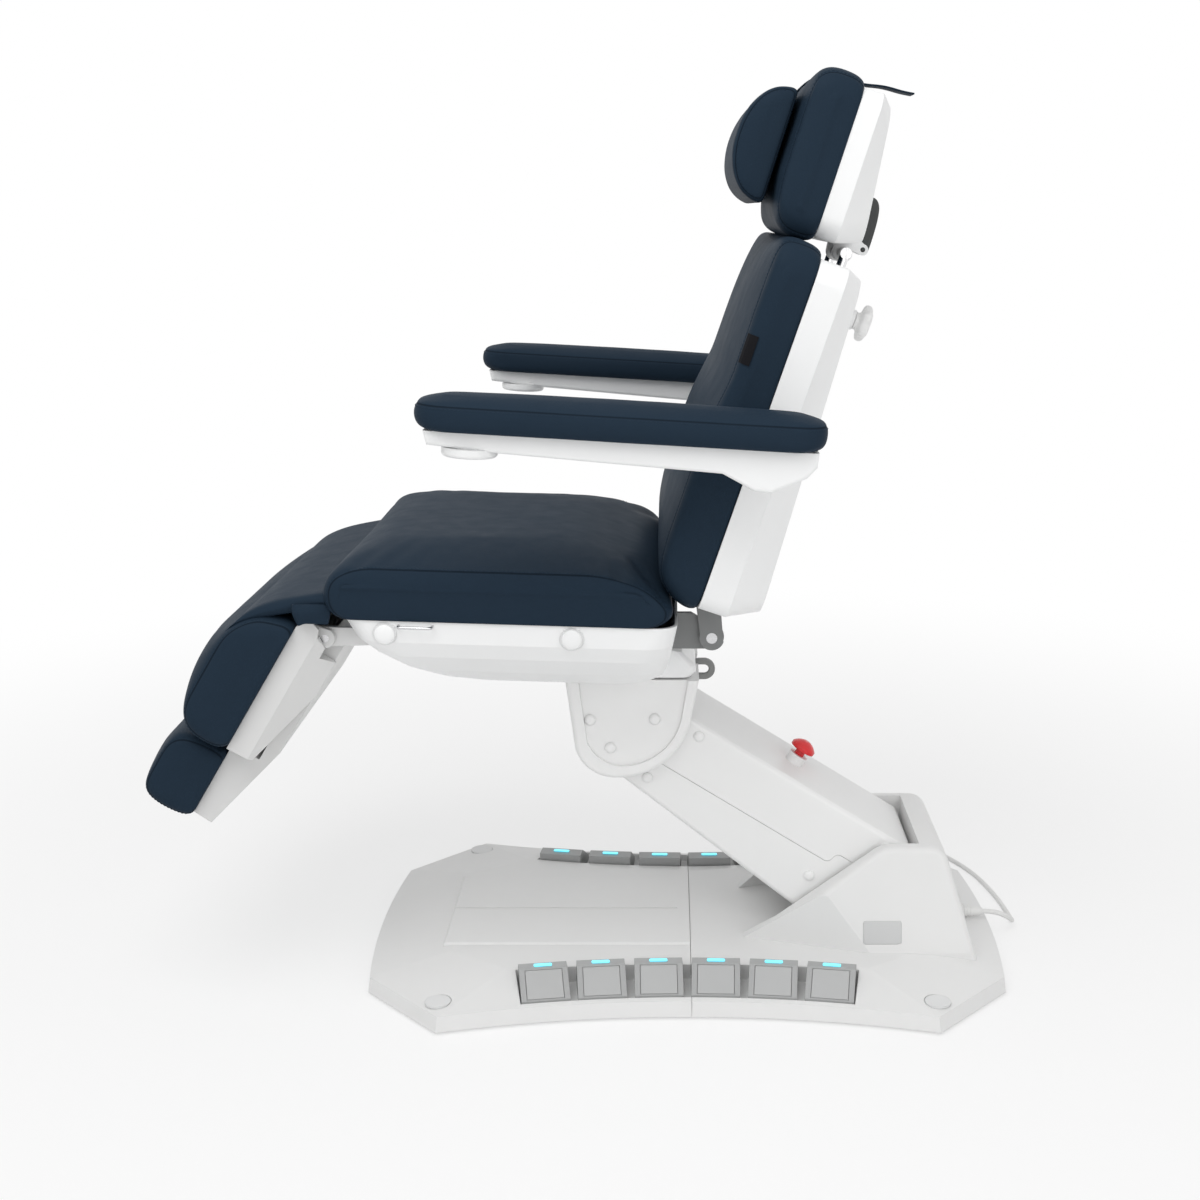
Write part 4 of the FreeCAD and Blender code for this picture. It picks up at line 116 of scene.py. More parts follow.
# each input is given a value, or the output of another node to be linked to
def addNode(tree, kind, inputs, **settings):
    node = tree.nodes.new("ShaderNode" + kind)
    for setting, value in settings.items():
        setattr(node, setting, value)
    for socket, value in inputs.items():
        if isinstance(value, bpy.types.NodeSocket):
            tree.links.new(value, node.inputs[socket])
        else:
            node.inputs[socket].default_value = value
    return node


def cameraOrMirrorRay(tree):
    rays = addNode(tree, "LightPath", {}).outputs
    most = addNode(tree, "Math", {0: rays["Is Camera Ray"], 1: rays["Is Glossy Ray"]}, operation="MAXIMUM")
    both = {0: most.outputs[0], 1: rays["Is Transmission Ray"]}
    return addNode(tree, "Math", both, operation="MAXIMUM").outputs[0]


def mixInto(tree, output, share, first, second):
    mix = addNode(tree, "MixShader", {"Fac": share, 1: first.outputs[0], 2: second.outputs[0]})
    addNode(tree, output, {"Surface": mix.outputs[0]})


def buildSky():
    world = bpy.data.worlds.new("studioSky")
    world.use_nodes = True
    scene.world = world
    tree = cleanTree(world)
    lit = addNode(tree, "Background", {"Color": (1, 1, 1, 1), "Strength": studio["skyLight"]})
    seen = addNode(tree, "Background", {"Color": (1, 1, 1, 1), "Strength": 1.0})
    mixInto(tree, "OutputWorld", cameraOrMirrorRay(tree), lit, seen)


def buildFloor():
    material = bpy.data.materials.new("studioFloor")
    material.use_nodes = True
    tree = cleanTree(material)
    matt = addNode(tree, "BsdfDiffuse", {"Color": (*studio["floor"], 1)})
    white = addNode(tree, "Emission", {"Color": (1, 1, 1, 1)})
    place = addNode(tree, "TexCoord", {}).outputs["Object"]
    away = addNode(tree, "VectorMath", {0: place}, operation="LENGTH").outputs["Value"]
    fading = {"Value": away, "From Min": studio["fadeFrom"], "From Max": studio["fadeTo"],
              "To Min": studio["floorWhite"]}
    fade = addNode(tree, "MapRange", fading, interpolation_type="SMOOTHSTEP").outputs[0]
    share = addNode(tree, "Math", {0: cameraOrMirrorRay(tree), 1: fade}, operation="MULTIPLY")
    mixInto(tree, "OutputMaterial", share.outputs[0], matt, white)
    mesh = bpy.data.meshes.new("studioFloor")
    reach = studio["floorReach"]
    corners = [(-reach, -reach, 0), (reach, -reach, 0), (reach, reach, 0), (-reach, reach, 0)]
    mesh.from_pydata(corners, [], [(0, 1, 2, 3)])
    mesh.materials.append(material)
    newObject("studioFloor", mesh)


def softLamp(name, place, width, watts):
    lamp = bpy.data.lights.new(name, "AREA")
    lamp.shape = "SQUARE"
    lamp.size = width
    lamp.energy = watts
    holder = newObject(name, lamp)
    holder.location = place
    holder.rotation_euler = (Vector(studio["lampsAim"]) - Vector(place)).to_track_quat("-Z", "Y").to_euler()


def buildCamera():
    data = bpy.data.cameras.new("photoView")
    data.lens = studio["lens"]
    data.sensor_width = studio["sensor"]
    data.shift_x = studio["shift"]
    camera = newObject("photoView", data)
    camera.location = Vector(studio["camera"]) / 1000
    camera.rotation_euler = (math.pi / 2 - studio["pitch"], 0, 0)
    scene.camera = camera


buildSky()
buildFloor()
buildCamera()
for lampName, lampSet in studio["lamps"].items():
    softLamp(lampName, *lampSet)
print("stage: sky, floor, two lamps, camera")


# Finishes
def newFinish(name):
    material = bpy.data.materials.new(name)
    material.use_nodes = True
    tree = cleanTree(material)
    shader = addNode(tree, "BsdfPrincipled", {})
    addNode(tree, "OutputMaterial", {"Surface": shader.outputs[0]})
    return material, tree, shader, addNode(tree, "TexCoord", {}).outputs["Object"]


def noiseAt(tree, place, scale, detail=2.0):
    return addNode(tree, "TexNoise", {"Vector": place, "Scale": scale, "Detail": detail}).outputs["Fac"]


def spreadOver(tree, source, low, high, into, fromLow=0.3, fromHigh=0.7):
    inputs = {"Value": source, "From Min": fromLow, "From Max": fromHigh, "To Min": low, "To Max": high}
    tree.links.new(addNode(tree, "MapRange", inputs).outputs[0], into)


def mottle(tree, source, dark, light, into):
    inputs = {"Factor": source, "A": (*dark, 1), "B": (*light, 1)}
    tree.links.new(addNode(tree, "Mix", inputs, data_type="RGBA").outputs["Result"], into)


def bumpUp(tree, source, depth, strength, under=None):
    inputs = {"Distance": depth, "Strength": strength, "Height": source}
    if under is not None:
        inputs["Normal"] = under
    return addNode(tree, "Bump", inputs).outputs[0]


def tinted(colour, share):
    return tuple(min(1.0, max(0.0, c * share)) for c in colour)


def patchyFinish(name, colour, rough, look):
    material, tree, shader, place = newFinish(name)
    dark, light = (tinted(colour, share) for share in look["patchTints"])
    patches = noiseAt(tree, place, look["patchScale"], look["patchDetail"])
    mottle(tree, patches, dark, light, shader.inputs["Base Color"])
    dull = noiseAt(tree, place, look["dullScale"], look["dullDetail"])
    spread = look["dullSpread"]
    spreadOver(tree, dull, rough - spread, rough + spread, shader.inputs["Roughness"])
    return material, tree, shader, place


hideLook = {
    "patchScale": 9.0,  # colour patches, in noise cells to the metre
    "patchDetail": 3.0,
    "patchTints": (0.96, 1.04),
    "dullScale": 34.0,
    "dullDetail": 3.0,
    "dullSpread": 0.03,
    "grainSoftness": 0.6,
    "grainStrength": 0.5,
    "warpShare": 0.35,  # the warp's scale as a share of the grain's
    "warpBy": 0.0012,
    "slackScale": 18.0,
    "slackDetail": 1.0,
    "slackDepth": 0.0016,
    "slackStrength": 0.04,
    "gloss": 0.035,  # a dull coat: little of the white room shows in it
}


def coatedFabric(name, colour, rough=0.52, grain=620.0, grainDepth=0.00035):
    material, tree, shader, place = patchyFinish(name, colour, rough, hideLook)
    warp = addNode(tree, "TexNoise", {"Vector": place, "Scale": grain * hideLook["warpShare"]})
    warping = {0: warp.outputs["Color"], 1: [hideLook["warpBy"]] * 3, 2: place}
    warped = addNode(tree, "VectorMath", warping, operation="MULTIPLY_ADD").outputs[0]
    graining = {"Vector": warped, "Scale": grain, "Smoothness": hideLook["grainSoftness"]}
    pebble = addNode(tree, "TexVoronoi", graining, feature="SMOOTH_F1").outputs["Distance"]
    sag = noiseAt(tree, place, hideLook["slackScale"], hideLook["slackDetail"])
    slack = bumpUp(tree, sag, hideLook["slackDepth"], hideLook["slackStrength"])
    hide = bumpUp(tree, pebble, grainDepth, hideLook["grainStrength"], slack)
    tree.links.new(hide, shader.inputs["Normal"])
    shader.inputs["Specular IOR Level"].default_value = hideLook["gloss"]
    return material


mouldLook = {
    "patchScale": 5.0,
    "patchDetail": 2.0,
    "patchTints": (0.97, 1.03),
    "dullScale": 60.0,
    "dullDetail": 3.0,
    "dullSpread": 0.05,
    "edgeRadius": 0.0016,  # moulded edges are never sharp
    "edgeSamples": 4,
    "flowScale": 7.0,
    "flowDetail": 1.0,
    "flowDepth": 0.003,
    "flowStrength": 0.06,
    "sparkDetail": 1.0,
    "sparkStrength": 0.35,
}


def moulded(name, colour, rough=0.4, spark=1400.0, sparkDepth=0.00012):
    material, tree, shader, place = patchyFinish(name, colour, rough, mouldLook)
    edge = addNode(tree, "Bevel", {"Radius": mouldLook["edgeRadius"]}, samples=mouldLook["edgeSamples"])
    wave = noiseAt(tree, place, mouldLook["flowScale"], mouldLook["flowDetail"])
    flow = bumpUp(tree, wave, mouldLook["flowDepth"], mouldLook["flowStrength"], edge.outputs[0])
    speck = noiseAt(tree, place, spark, mouldLook["sparkDetail"])
    skin = bumpUp(tree, speck, sparkDepth, mouldLook["sparkStrength"], flow)
    tree.links.new(skin, shader.inputs["Normal"])
    return material


# The knee arms, ahead of the edge, wear a pale sleeve
def addSleeve(material, colour, edge):
    tree = material.node_tree
    base = tree.nodes["Principled BSDF"].inputs["Base Color"]
    split = addNode(tree, "SeparateXYZ", {0: tree.nodes["Texture Coordinate"].outputs["Object"]})
    ahead = addNode(tree, "Math", {0: split.outputs["X"], 1: edge}, operation="LESS_THAN").outputs[0]
    choice = {"Factor": ahead, "A": base.links[0].from_socket, "B": (*colour, 1)}
    tree.links.new(addNode(tree, "Mix", choice, data_type="RGBA").outputs["Result"], base)


steelLook = {
    "tints": (0.86, 1.1),
    "smoother": 0.08,  # how far the roughness falls and rises along the streaks
    "rougher": 0.1,
    "detail": 3.0,
    "depth": 0.0001,
    "strength": 0.25,
}


def steel(name, colour, rough=0.32, streak=(30.0, 700.0, 700.0)):
    material, tree, shader, place = newFinish(name)
    stretch = addNode(tree, "Mapping", {"Vector": place, "Scale": streak})
    lines = noiseAt(tree, stretch.outputs[0], 1.0, steelLook["detail"])
    dark, light = (tinted(colour, share) for share in steelLook["tints"])
    mottle(tree, lines, dark, light, shader.inputs["Base Color"])
    low, high = rough - steelLook["smoother"], rough + steelLook["rougher"]
    spreadOver(tree, lines, low, high, shader.inputs["Roughness"])
    brushed = bumpUp(tree, lines, steelLook["depth"], steelLook["strength"])
    tree.links.new(brushed, shader.inputs["Normal"])
    shader.inputs["Metallic"].default_value = 1.0
    return material


glowLook = {"grain": 300.0, "tint": 0.92, "rough": 0.3}


def glowing(name, colour, strength):
    material, tree, shader, place = newFinish(name)
    speck = noiseAt(tree, place, glowLook["grain"])
    mottle(tree, speck, tinted(colour, glowLook["tint"]), colour, shader.inputs["Base Color"])
    shader.inputs["Roughness"].default_value = glowLook["rough"]
    shader.inputs["Emission Color"].default_value = (*colour, 1)
    shader.inputs["Emission Strength"].default_value = strength
    return material


navy = (0.0165, 0.0295, 0.047)
darkPaint = ((0.2, 0.205, 0.205), 0.42, 900.0, 0.00015)
sleeve = {"colour": (0.77, 0.77, 0.765), "edge": -0.3}
finishMade = {
    "navyHide": (coatedFabric, navy),
    "navySeam": (coatedFabric, tinted(navy, 0.55), 0.7),
    "navyThread": (coatedFabric, tinted(navy, 1.25), 0.62, 2600.0, 0.0002),
    "strapWeb": (coatedFabric, tinted(navy, 0.8), 0.6, 900.0, 0.0005),
    "blackTab": (coatedFabric, (0.012, 0.012, 0.014), 0.7, 1500.0, 0.0004),
    "shellWhite": (moulded, (0.89, 0.895, 0.895), 0.33),
    "coverWhite": (moulded, (0.87, 0.87, 0.865), 0.42, 1100.0, 0.00016),
    # the base covers' white, darker than the arm covers' white as painted shade for the less light low on
    # the chair
    "baseWhite": (moulded, (0.79, 0.79, 0.785), 0.42, 1100.0, 0.00016),
    # the tray's white, darkened as painted shade for the tray facing down, out of the light
    "trayWhite": (moulded, (0.7, 0.7, 0.695), 0.38),
    "capGrey": (moulded, (0.74, 0.745, 0.745), 0.36),
    "pedalGrey": (moulded, (0.4, 0.405, 0.405), 0.48, 900.0, 0.0002),
    "padGrey": (moulded, (0.47, 0.475, 0.475), 0.44, 900.0, 0.0002),
    "plateGrey": (moulded, (0.6, 0.605, 0.605), 0.4, 1800.0, 0.00008),
    "leverGrey": (moulded, (0.25, 0.255, 0.25), 0.45, 1200.0, 0.0002),
    "gripDark": (moulded, (0.033, 0.036, 0.036), 0.5, 1200.0, 0.0002),
    "rubberBlack": (moulded, (0.02, 0.02, 0.02), 0.75, 700.0, 0.0003),
    "stopRed": (moulded, (0.72, 0.018, 0.022), 0.24, 900.0, 0.00006),
    "cordWhite": (moulded, (0.78, 0.78, 0.77), 0.5, 800.0, 0.0002),
    "bracketGrey": (moulded, *darkPaint),
    "frameGrey": (moulded, *darkPaint),
    "brightSteel": (steel, (0.66, 0.66, 0.67), 0.26),
    "chromePost": (steel, (0.83, 0.83, 0.84), 0.12, (400.0, 400.0, 30.0)),
    "motorMetal": (steel, (0.45, 0.46, 0.47), 0.4),
    "pedalLight": (glowing, (0.2, 0.83, 1.0), 0.75),
}
finish = {name: make(name, *values) for name, (make, *values) in finishMade.items()}
addSleeve(finish["frameGrey"], **sleeve)

nodeFinish = {
    "coverWhite": ["arm_cover_upper", "arm_cover_lower", "yoke_cover"],
    "baseWhite": ["base_cover_front", "base_cover_rear"],
    "shellWhite": ["seat_shell", "back_shell", "head_shell", "arm_support_left", "arm_support_right"],
    "trayWhite": ["leg_tray", "foot_carriage"],
    "capGrey": ["foot_caps", "seat_shell_caps"],
    "bracketGrey": ["base_frame", "lift_arm_frame", "level_link", "yoke_frame", "back_frame"],
    "frameGrey": ["seat_frame"],
    "brightSteel": ["arm_pivot_pins", "yoke_pins", "seat_hinge_pins", "strap_loops"],
    "chromePost": ["head_posts"],
    "motorMetal": ["lift_gearmotor", "seat_gearmotors"],
    "rubberBlack": ["levelling_feet", "control_box"],
    "pedalGrey": ["pedal_housings_left", "pedal_housings_right"],
    "padGrey": [f"pedal_{side}_{k}" for side in ("left", "right") for k in range(1, 7)],
    "stopRed": ["stop_button"],
    "leverGrey": ["swivel_lever"],
    "cordWhite": ["cord_gland", "mains_plug"],
}


def dressNodes():
    for name, members in nodeFinish.items():
        for member in members:
            mesh = nodes[member].data
            mesh.materials.clear()
            mesh.materials.append(finish[name])


dressNodes()
print("finishes:", len(finish), "materials on", sum(map(len, nodeFinish.values())), "nodes")


# Mains lead: the route's own points, in millimetres from the base's centre, then the coil
lead = {
    "points": [(477, 0, 43.5), (500, 0, 43.5), (522, 6, 32), (536, 24, 17), (541, 50, 4), (539, 95, 4),
               (531, 165, 4), (512, 250, 4), (476, 322, 4), (448.45, 366, 4), (448.45, 394, 4)],
    "coilMiddle": (390, 402),
    "coilInner": 28.0,
    "coilStep": 8.7,
    "turnsPerLayer": 3.5,
    "pointsPerTurn": 16,
    "tail": (6.0, 40.0),  # two points that run straight on from the coil to the plug
    "radius": 4.0,
    "length": 2.4,
    "steps": 5,  # along each span, and round a quarter of the lead
}


def splineAlong(name, points, steps):
    curve = bpy.data.curves.new(name, "CURVE")
    curve.dimensions = "3D"
    spline = curve.splines.new("NURBS")
    spline.points.add(len(points) - 1)
    for point, place in zip(spline.points, points):
        point.co = (*place, 1)
    spline.order_u = 3
    spline.use_endpoint_u = True
    spline.resolution_u = steps
    return curve


# the spline runs inside its points, which stand further out to make up for it
def coilPoints():
    perTurn = lead["pointsPerTurn"]
    middle = lead["turnsPerLayer"] * perTurn
    reach = 1 / (0.75 + 0.25 * math.cos(2 * math.pi / perTurn))
    found = []
    for k in range(1, int(2 * middle)):
        turn = 2 * math.pi * k / perTurn
        radius = (lead["coilInner"] + lead["coilStep"] * abs(k - middle) / perTurn) * reach
        climb = min(max((k - middle) / perTurn * 2 + 0.5, 0), 1)  # to the second layer in half a turn
        x = lead["coilMiddle"][0] + radius * math.cos(turn)
        y = lead["coilMiddle"][1] + radius * math.sin(turn)
        found.append((x, y, lead["radius"] + lead["coilStep"] * climb))
    return found


def buildLead():
    outer = lead["coilInner"] + lead["coilStep"] * lead["turnsPerLayer"]
    endX, endY = lead["coilMiddle"][0] + outer, lead["coilMiddle"][1]
    endZ = lead["radius"] + lead["coilStep"]
    route = lead["points"] + coilPoints() + [(endX, endY + beyond, endZ) for beyond in lead["tail"]]
    curve = splineAlong("mainsLead", [at(baseAt, *point) for point in route], lead["steps"])
    curve.bevel_depth = lead["radius"] / 1000
    curve.bevel_resolution = lead["steps"]
    curve.use_fill_caps = True
    curve.materials.append(finish["cordWhite"])
    piece = newObject("mainsLead", curve)
    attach(piece, "base")
    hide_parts("mains_cord", "cord_coil")
    at(baseAt, *lead["points"][0])


buildLead()
print("lead: one spline with its coil")


# Lines and rows: smooth curves through a few points, and points spaced along them
def curveValue(a, b, c, d, t):
    bend, twist = 2 * a - 5 * b + 4 * c - d, 3 * b - a - 3 * c + d
    return 0.5 * (2 * b + (c - a) * t + bend * t * t + twist * t ** 3)


def smoothRows(rows, steps=4):
    found = []
    for k in range(len(rows) - 1):
        four = (rows[max(k - 1, 0)], rows[k], rows[k + 1], rows[min(k + 2, len(rows) - 1)])
        for j in range(steps):
            found.append(tuple(curveValue(*values, j / steps) for values in zip(*four)))
    return found + [rows[-1]]


def between(a, b, share):
    return tuple(p + (q - p) * share for p, q in zip(a, b))


def spaced(points, count, first, gaps, size=None):
    ends = [0.0]
    for a, b in zip(points, points[1:]):
        ends.append(ends[-1] + math.dist(a[:size], b[:size]))
    found, k = [], 0
    for j in range(count):
        want = ends[-1] * (j + first) / gaps
        while ends[k + 1] < want:
            k += 1
        found.append(between(points[k], points[k + 1], (want - ends[k]) / max(ends[k + 1] - ends[k], 1e-9)))
    return found


def evenly(points, count):
    return spaced(points, count, 1, count + 1)


def curveThrough(points, count, steps=8):
    dense = smoothRows(points, steps)
    return [dense[0]] + evenly(dense, count - 2) + [dense[-1]]


def turnsOf(count):
    return [2 * math.pi * k / count for k in range(count)]


def circle(count, radius):
    return [(radius * math.cos(turn), radius * math.sin(turn)) for turn in turnsOf(count)]


# rings from one side to the other, made of loops that run out from the middle
def bothSides(loops, put):
    near, far = ([[put(a, sign * y, b) for a, b in loop] for y, loop in loops] for sign in (-1, 1))
    return near[:0:-1] + far


# Upholstery
# a cushion's cut across at y, from rows of height, low end, high end, half width and plan corner
def sectionAt(rows, y):
    kept = []
    for k, row in enumerate(rows):
        inside = row[3] >= y
        if k and inside != bool(kept):
            last = rows[k - 1]
            kept.append(between(last, row, (y - last[3]) / (row[3] - last[3])))
        if inside:
            kept.append(row)
        elif kept:
            break
    found = []
    for height, low, high, half, corner in kept:
        over = min(max(y - half + corner, 0), corner)
        pinch = corner - math.sqrt(corner * corner - over * over)
        found.append((height, low + pinch, high - pinch))
    return found


def sectionLoop(section, bottomCount, upperCount):
    height, low, high = section[0]
    bottom = [(low + (high - low) * k / (bottomCount - 1), height) for k in range(bottomCount)]
    upper = [(row[2], row[0]) for row in section] + [(row[1], row[0]) for row in reversed(section)]
    over = evenly(upper, upperCount)
    eased = []
    for k, point in enumerate(over):
        before = over[k - 1] if k else bottom[-1]
        after = over[k + 1] if k + 1 < len(over) else bottom[0]
        eased.append(tuple(0.25 * a + 0.5 * b + 0.25 * c for a, b, c in zip(before, point, after)))
    return bottom + eased


closing = {"inset": 0.45, "shares": (0.3, 0.6, 0.88)}  # how a loop shrinks to its spine to close an end


def towardsSpine(loop, share):
    lowX, highX = min(p[0] for p in loop), max(p[0] for p in loop)
    lowH, highH = min(p[1] for p in loop), max(p[1] for p in loop)
    inset = min(highH - lowH, highX - lowX) * closing["inset"]
    middle = (lowH + highH) / 2
    return [between(p, (min(max(p[0], lowX + inset), highX - inset), middle), share) for p in loop]


# loops stand closer near the seam, at these gaps before it and shares of the border beyond it
borderMade = {
    "flatStop": 21.0,
    "gaps": (15.0, 10.0, 6.5, 3.0, 0.7, 0.0),
    "beyond": 0.6,
    "narrow": 8.0,
    "narrowShares": (0.5, 0.8),
    "wideShares": (0.22, 0.42, 0.6, 0.75, 0.87, 0.95),
    "rim": 0.15,
}


def wrapStations(half, seamIn, step):
    seam = half - seamIn
    flat = seam - borderMade["flatStop"]
    count = math.ceil(flat / step)
    ys = [flat * k / count for k in range(count + 1)]
    ys += [seam - gap for gap in borderMade["gaps"]] + [seam + borderMade["beyond"]]
    shares = borderMade["narrowShares" if seamIn < borderMade["narrow"] else "wideShares"]
    return ys + [seam + seamIn * share for share in shares] + [half - borderMade["rim"]], len(ys) - 2


def thinnedHeight(along, height, base, start, end, share):
    step = min(max((along - start) / (end - start), 0), 1)
    return base + (height - base) * (1 + (share - 1) * step * step * (3 - 2 * step))


def wrapRings(spec):
    rows = smoothRows(spec["rows"])
    half = max(row[3] for row in rows)
    ys, seam = wrapStations(half, spec["seamIn"], spec["step"])
    full = sectionAt(rows, 0)
    bottomCount = round((full[0][2] - full[0][1]) / spec["step"])
    reach = sum(math.dist((a[0], a[1]), (b[0], b[1])) + math.dist((a[0], a[2]), (b[0], b[2]))
                for a, b in zip(full, full[1:])) + full[-1][2] - full[-1][1]
    upperCount = round(reach / spec["step"])
    loops = [(y, sectionLoop(sectionAt(rows, y), bottomCount, upperCount)) for y in ys]
    if "thinner" in spec:
        base = rows[0][0]
        loops = [(y, [(x, thinnedHeight(x, h, base, *spec["thinner"])) for x, h in loop])
                 for y, loop in loops]
    last = loops[-1][1]
    loops += [(half + spec["dome"] * share, towardsSpine(last, share)) for share in closing["shares"]]

    def put(x, y, h):
        return at(spec["place"], *((x, y, h) if spec["lying"] else (-h, y, x)))

    middle = len(loops) - 1
    return bothSides(loops, put), [middle - seam, middle + seam], bottomCount


def addRings(points, faces, rings, closeFirst, closeLast):
    first, count = len(points), len(rings[0])
    for ring in rings:
        points += ring
    for k in range(len(rings) - 1):
        for j in range(count):
            a, b = first + k * count + j, first + k * count + (j + 1) % count
            faces.append((a, b, b + count, a + count))
    if closeFirst:
        faces.append(tuple(range(first, first + count))[::-1])
    if closeLast:
        faces.append(tuple(range(first + (len(rings) - 1) * count, first + len(rings) * count)))


def smoothPiece(name, points, faces, looks):
    mesh = bpy.data.meshes.new(name)
    mesh.from_pydata(points, [], faces)
    mesh.polygons.foreach_set("use_smooth", [True] * len(mesh.polygons))
    for look in looks:
        mesh.materials.append(finish[look])
    return newObject(name, mesh)


def faceOutward(mesh, triangulated):
    work = bmesh.new()
    work.from_mesh(mesh)
    if triangulated:
        bmesh.ops.triangulate(work, faces=[face for face in work.faces if len(face.verts) > 4])
    bmesh.ops.recalc_face_normals(work, faces=work.faces)
    work.to_mesh(mesh)
    work.free()


def meshFromRings(name, rings, looks):
    points, faces = [], []
    addRings(points, faces, rings, True, True)
    piece = smoothPiece(name, points, faces, looks)
    faceOutward(piece.data, True)
    return piece


def subdivided(piece):
    smooth = piece.modifiers.new("smooth", "SUBSURF")
    smooth.levels = smooth.render_levels = 1


stuffing = {
    "frames": 14,
    "quality": 4,
    "mass": 0.25,
    "stretch": 18.0,
    "shear": 8.0,
    "bend": 1.2,
}


def puff(piece, held, pressure, cap):
    frames = stuffing["frames"]
    start = [v.co.copy() for v in piece.data.vertices]
    group = piece.vertex_groups.new(name="held")
    group.add(held, 1.0, "REPLACE")
    cloth = piece.modifiers.new("stuffing", "CLOTH")
    settings = cloth.settings
    settings.quality = stuffing["quality"]
    settings.mass = stuffing["mass"]
    settings.tension_stiffness = settings.compression_stiffness = stuffing["stretch"]
    settings.shear_stiffness = stuffing["shear"]
    settings.bending_stiffness = stuffing["bend"]
    settings.vertex_group_mass = "held"
    settings.use_pressure = True
    settings.uniform_pressure_force = pressure
    settings.effector_weights.gravity = 0
    cloth.collision_settings.use_collision = False
    cloth.point_cache.frame_end = frames
    for k in range(1, frames + 1):
        scene.frame_set(k)
    swollen = piece.evaluated_get(bpy.context.evaluated_depsgraph_get()).to_mesh()
    for v, was, now in zip(piece.data.vertices, start, swollen.vertices):
        move = now.co - was
        v.co = was + move * min(1.0, cap / 1000 / max(move.length, 1e-9))
    piece.evaluated_get(bpy.context.evaluated_depsgraph_get()).to_mesh_clear()
    piece.modifiers.remove(cloth)
    piece.vertex_groups.remove(group)
    scene.frame_set(1)


# slack and puckers, as noise cells to the metre; puckers fade over some loops each side of a seam
creasing = {"slackScale": 13.0, "creaseScale": 34.0, "creaseShare": 0.5, "puckerScale": 75.0,
            "puckerLoops": 7, "besideShare": 0.18}


def slacken(piece, count, seams, spec):
    mesh = piece.data
    mesh.update()
    normals = [n.vector.copy() for n in mesh.vertex_normals]
    rows = len(mesh.vertices) // count
    moves = [0.0] * len(mesh.vertices)
    for k in range(rows):
        near = min(abs(k - seam) for seam in seams)
        for j in range(count):
            v = k * count + j
            if j < spec["baseCount"]:
                continue
            p = mesh.vertices[v].co
            crease = spec["slack"] * creasing["creaseShare"]
            moves[v] += (spec["slack"] * noise.noise(p * creasing["slackScale"])
                         + crease * noise.noise(p * creasing["creaseScale"]))
            if near < creasing["puckerLoops"]:
                fade = 1 - near / creasing["puckerLoops"]
                moves[v] += spec["pucker"] * noise.noise(p * creasing["puckerScale"]) * fade
    for seam in seams:
        for j in range(count):
            moves[seam * count + j] -= spec["seamDepth"]
            for beside in (seam - 1, seam + 1):
                moves[beside * count + j] -= spec["seamDepth"] * creasing["besideShare"]
    for v, normal, move in zip(mesh.vertices, normals, moves):
        v.co += normal * (move / 1000)
    mesh.update()


def seamFaces(piece, count, seams):
    for polygon in piece.data.polygons:
        rows = {v // count for v in polygon.vertices}
        if len(rows) == 2 and any(seam in rows for seam in seams):
            polygon.material_index = 1


stitching = {
    "long": 3.4,
    "thick": 0.34,
    "pitch": 5.4,
    "sides": 6,
    # place along the stitch, swell and height, as shares of its length and thickness
    "profile": [(-0.5, 0.25, -0.8), (-0.3, 0.9, 0.1), (0.0, 1.0, 0.45), (0.3, 0.9, 0.1), (0.5, 0.25, -0.8)],
}


def stitchRow(name, piece, loops, spec):
    mesh = piece.data
    normals = [n.vector.copy() for n in mesh.vertex_normals]
    points, faces = [], []
    long, thick = spec["long"] / 1000, spec["thick"] / 1000
    for loop in loops:
        path = [(*mesh.vertices[v].co, *normals[v]) for v in loop]
        reach = sum(math.dist(a[:3], b[:3]) for a, b in zip(path, path[1:]))
        count = int(reach * 1000 / spec["pitch"])
        spots = spaced(path, count, 0.5, count, 3)
        for k, spotNow in enumerate(spots):
            middle, up = Vector(spotNow[:3]), Vector(spotNow[3:]).normalized()
            ahead = Vector(spots[(k + 1) % count][:3]) - Vector(spots[k - 1][:3])
            ahead = (ahead - up * ahead.dot(up)).normalized()
            across = up.cross(ahead)
            rings = []
            for share, swell, sink in spec["profile"]:
                rings.append([middle + ahead * long * share + up * thick * (sink + swell * math.sin(turn))
                              + across * thick * swell * math.cos(turn) for turn in turnsOf(spec["sides"])])
            addRings(points, faces, rings, False, False)
    return smoothPiece(name, points, faces, ["navyThread"])


def finishSoft(spec, rings, seams, heldRows=()):
    count = len(rings[0])
    piece = meshFromRings(spec["name"], rings, ["navyHide", "navySeam"])
    seamFaces(piece, count, seams)
    held = {k * count + j for k in range(len(rings)) for j in range(spec["baseCount"])}
    held |= {k * count + j for k in (*seams, *heldRows) for j in range(count)}
    puff(piece, sorted(held), spec["pressure"], spec["cap"])
    slacken(piece, count, seams, spec)
    loops = []
    for seam in seams:
        for beside in spec["stitchBeside"]:
            row = seam + (beside if seam > len(rings) / 2 else -beside)
            loops.append([row * count + j for j in range(spec["baseCount"], count)])
    stitches = stitchRow(spec["name"] + "Stitches", piece, loops, stitching)
    subdivided(piece)
    for item in (piece, stitches):
        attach(item, spec["body"])
    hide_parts(spec["node"])


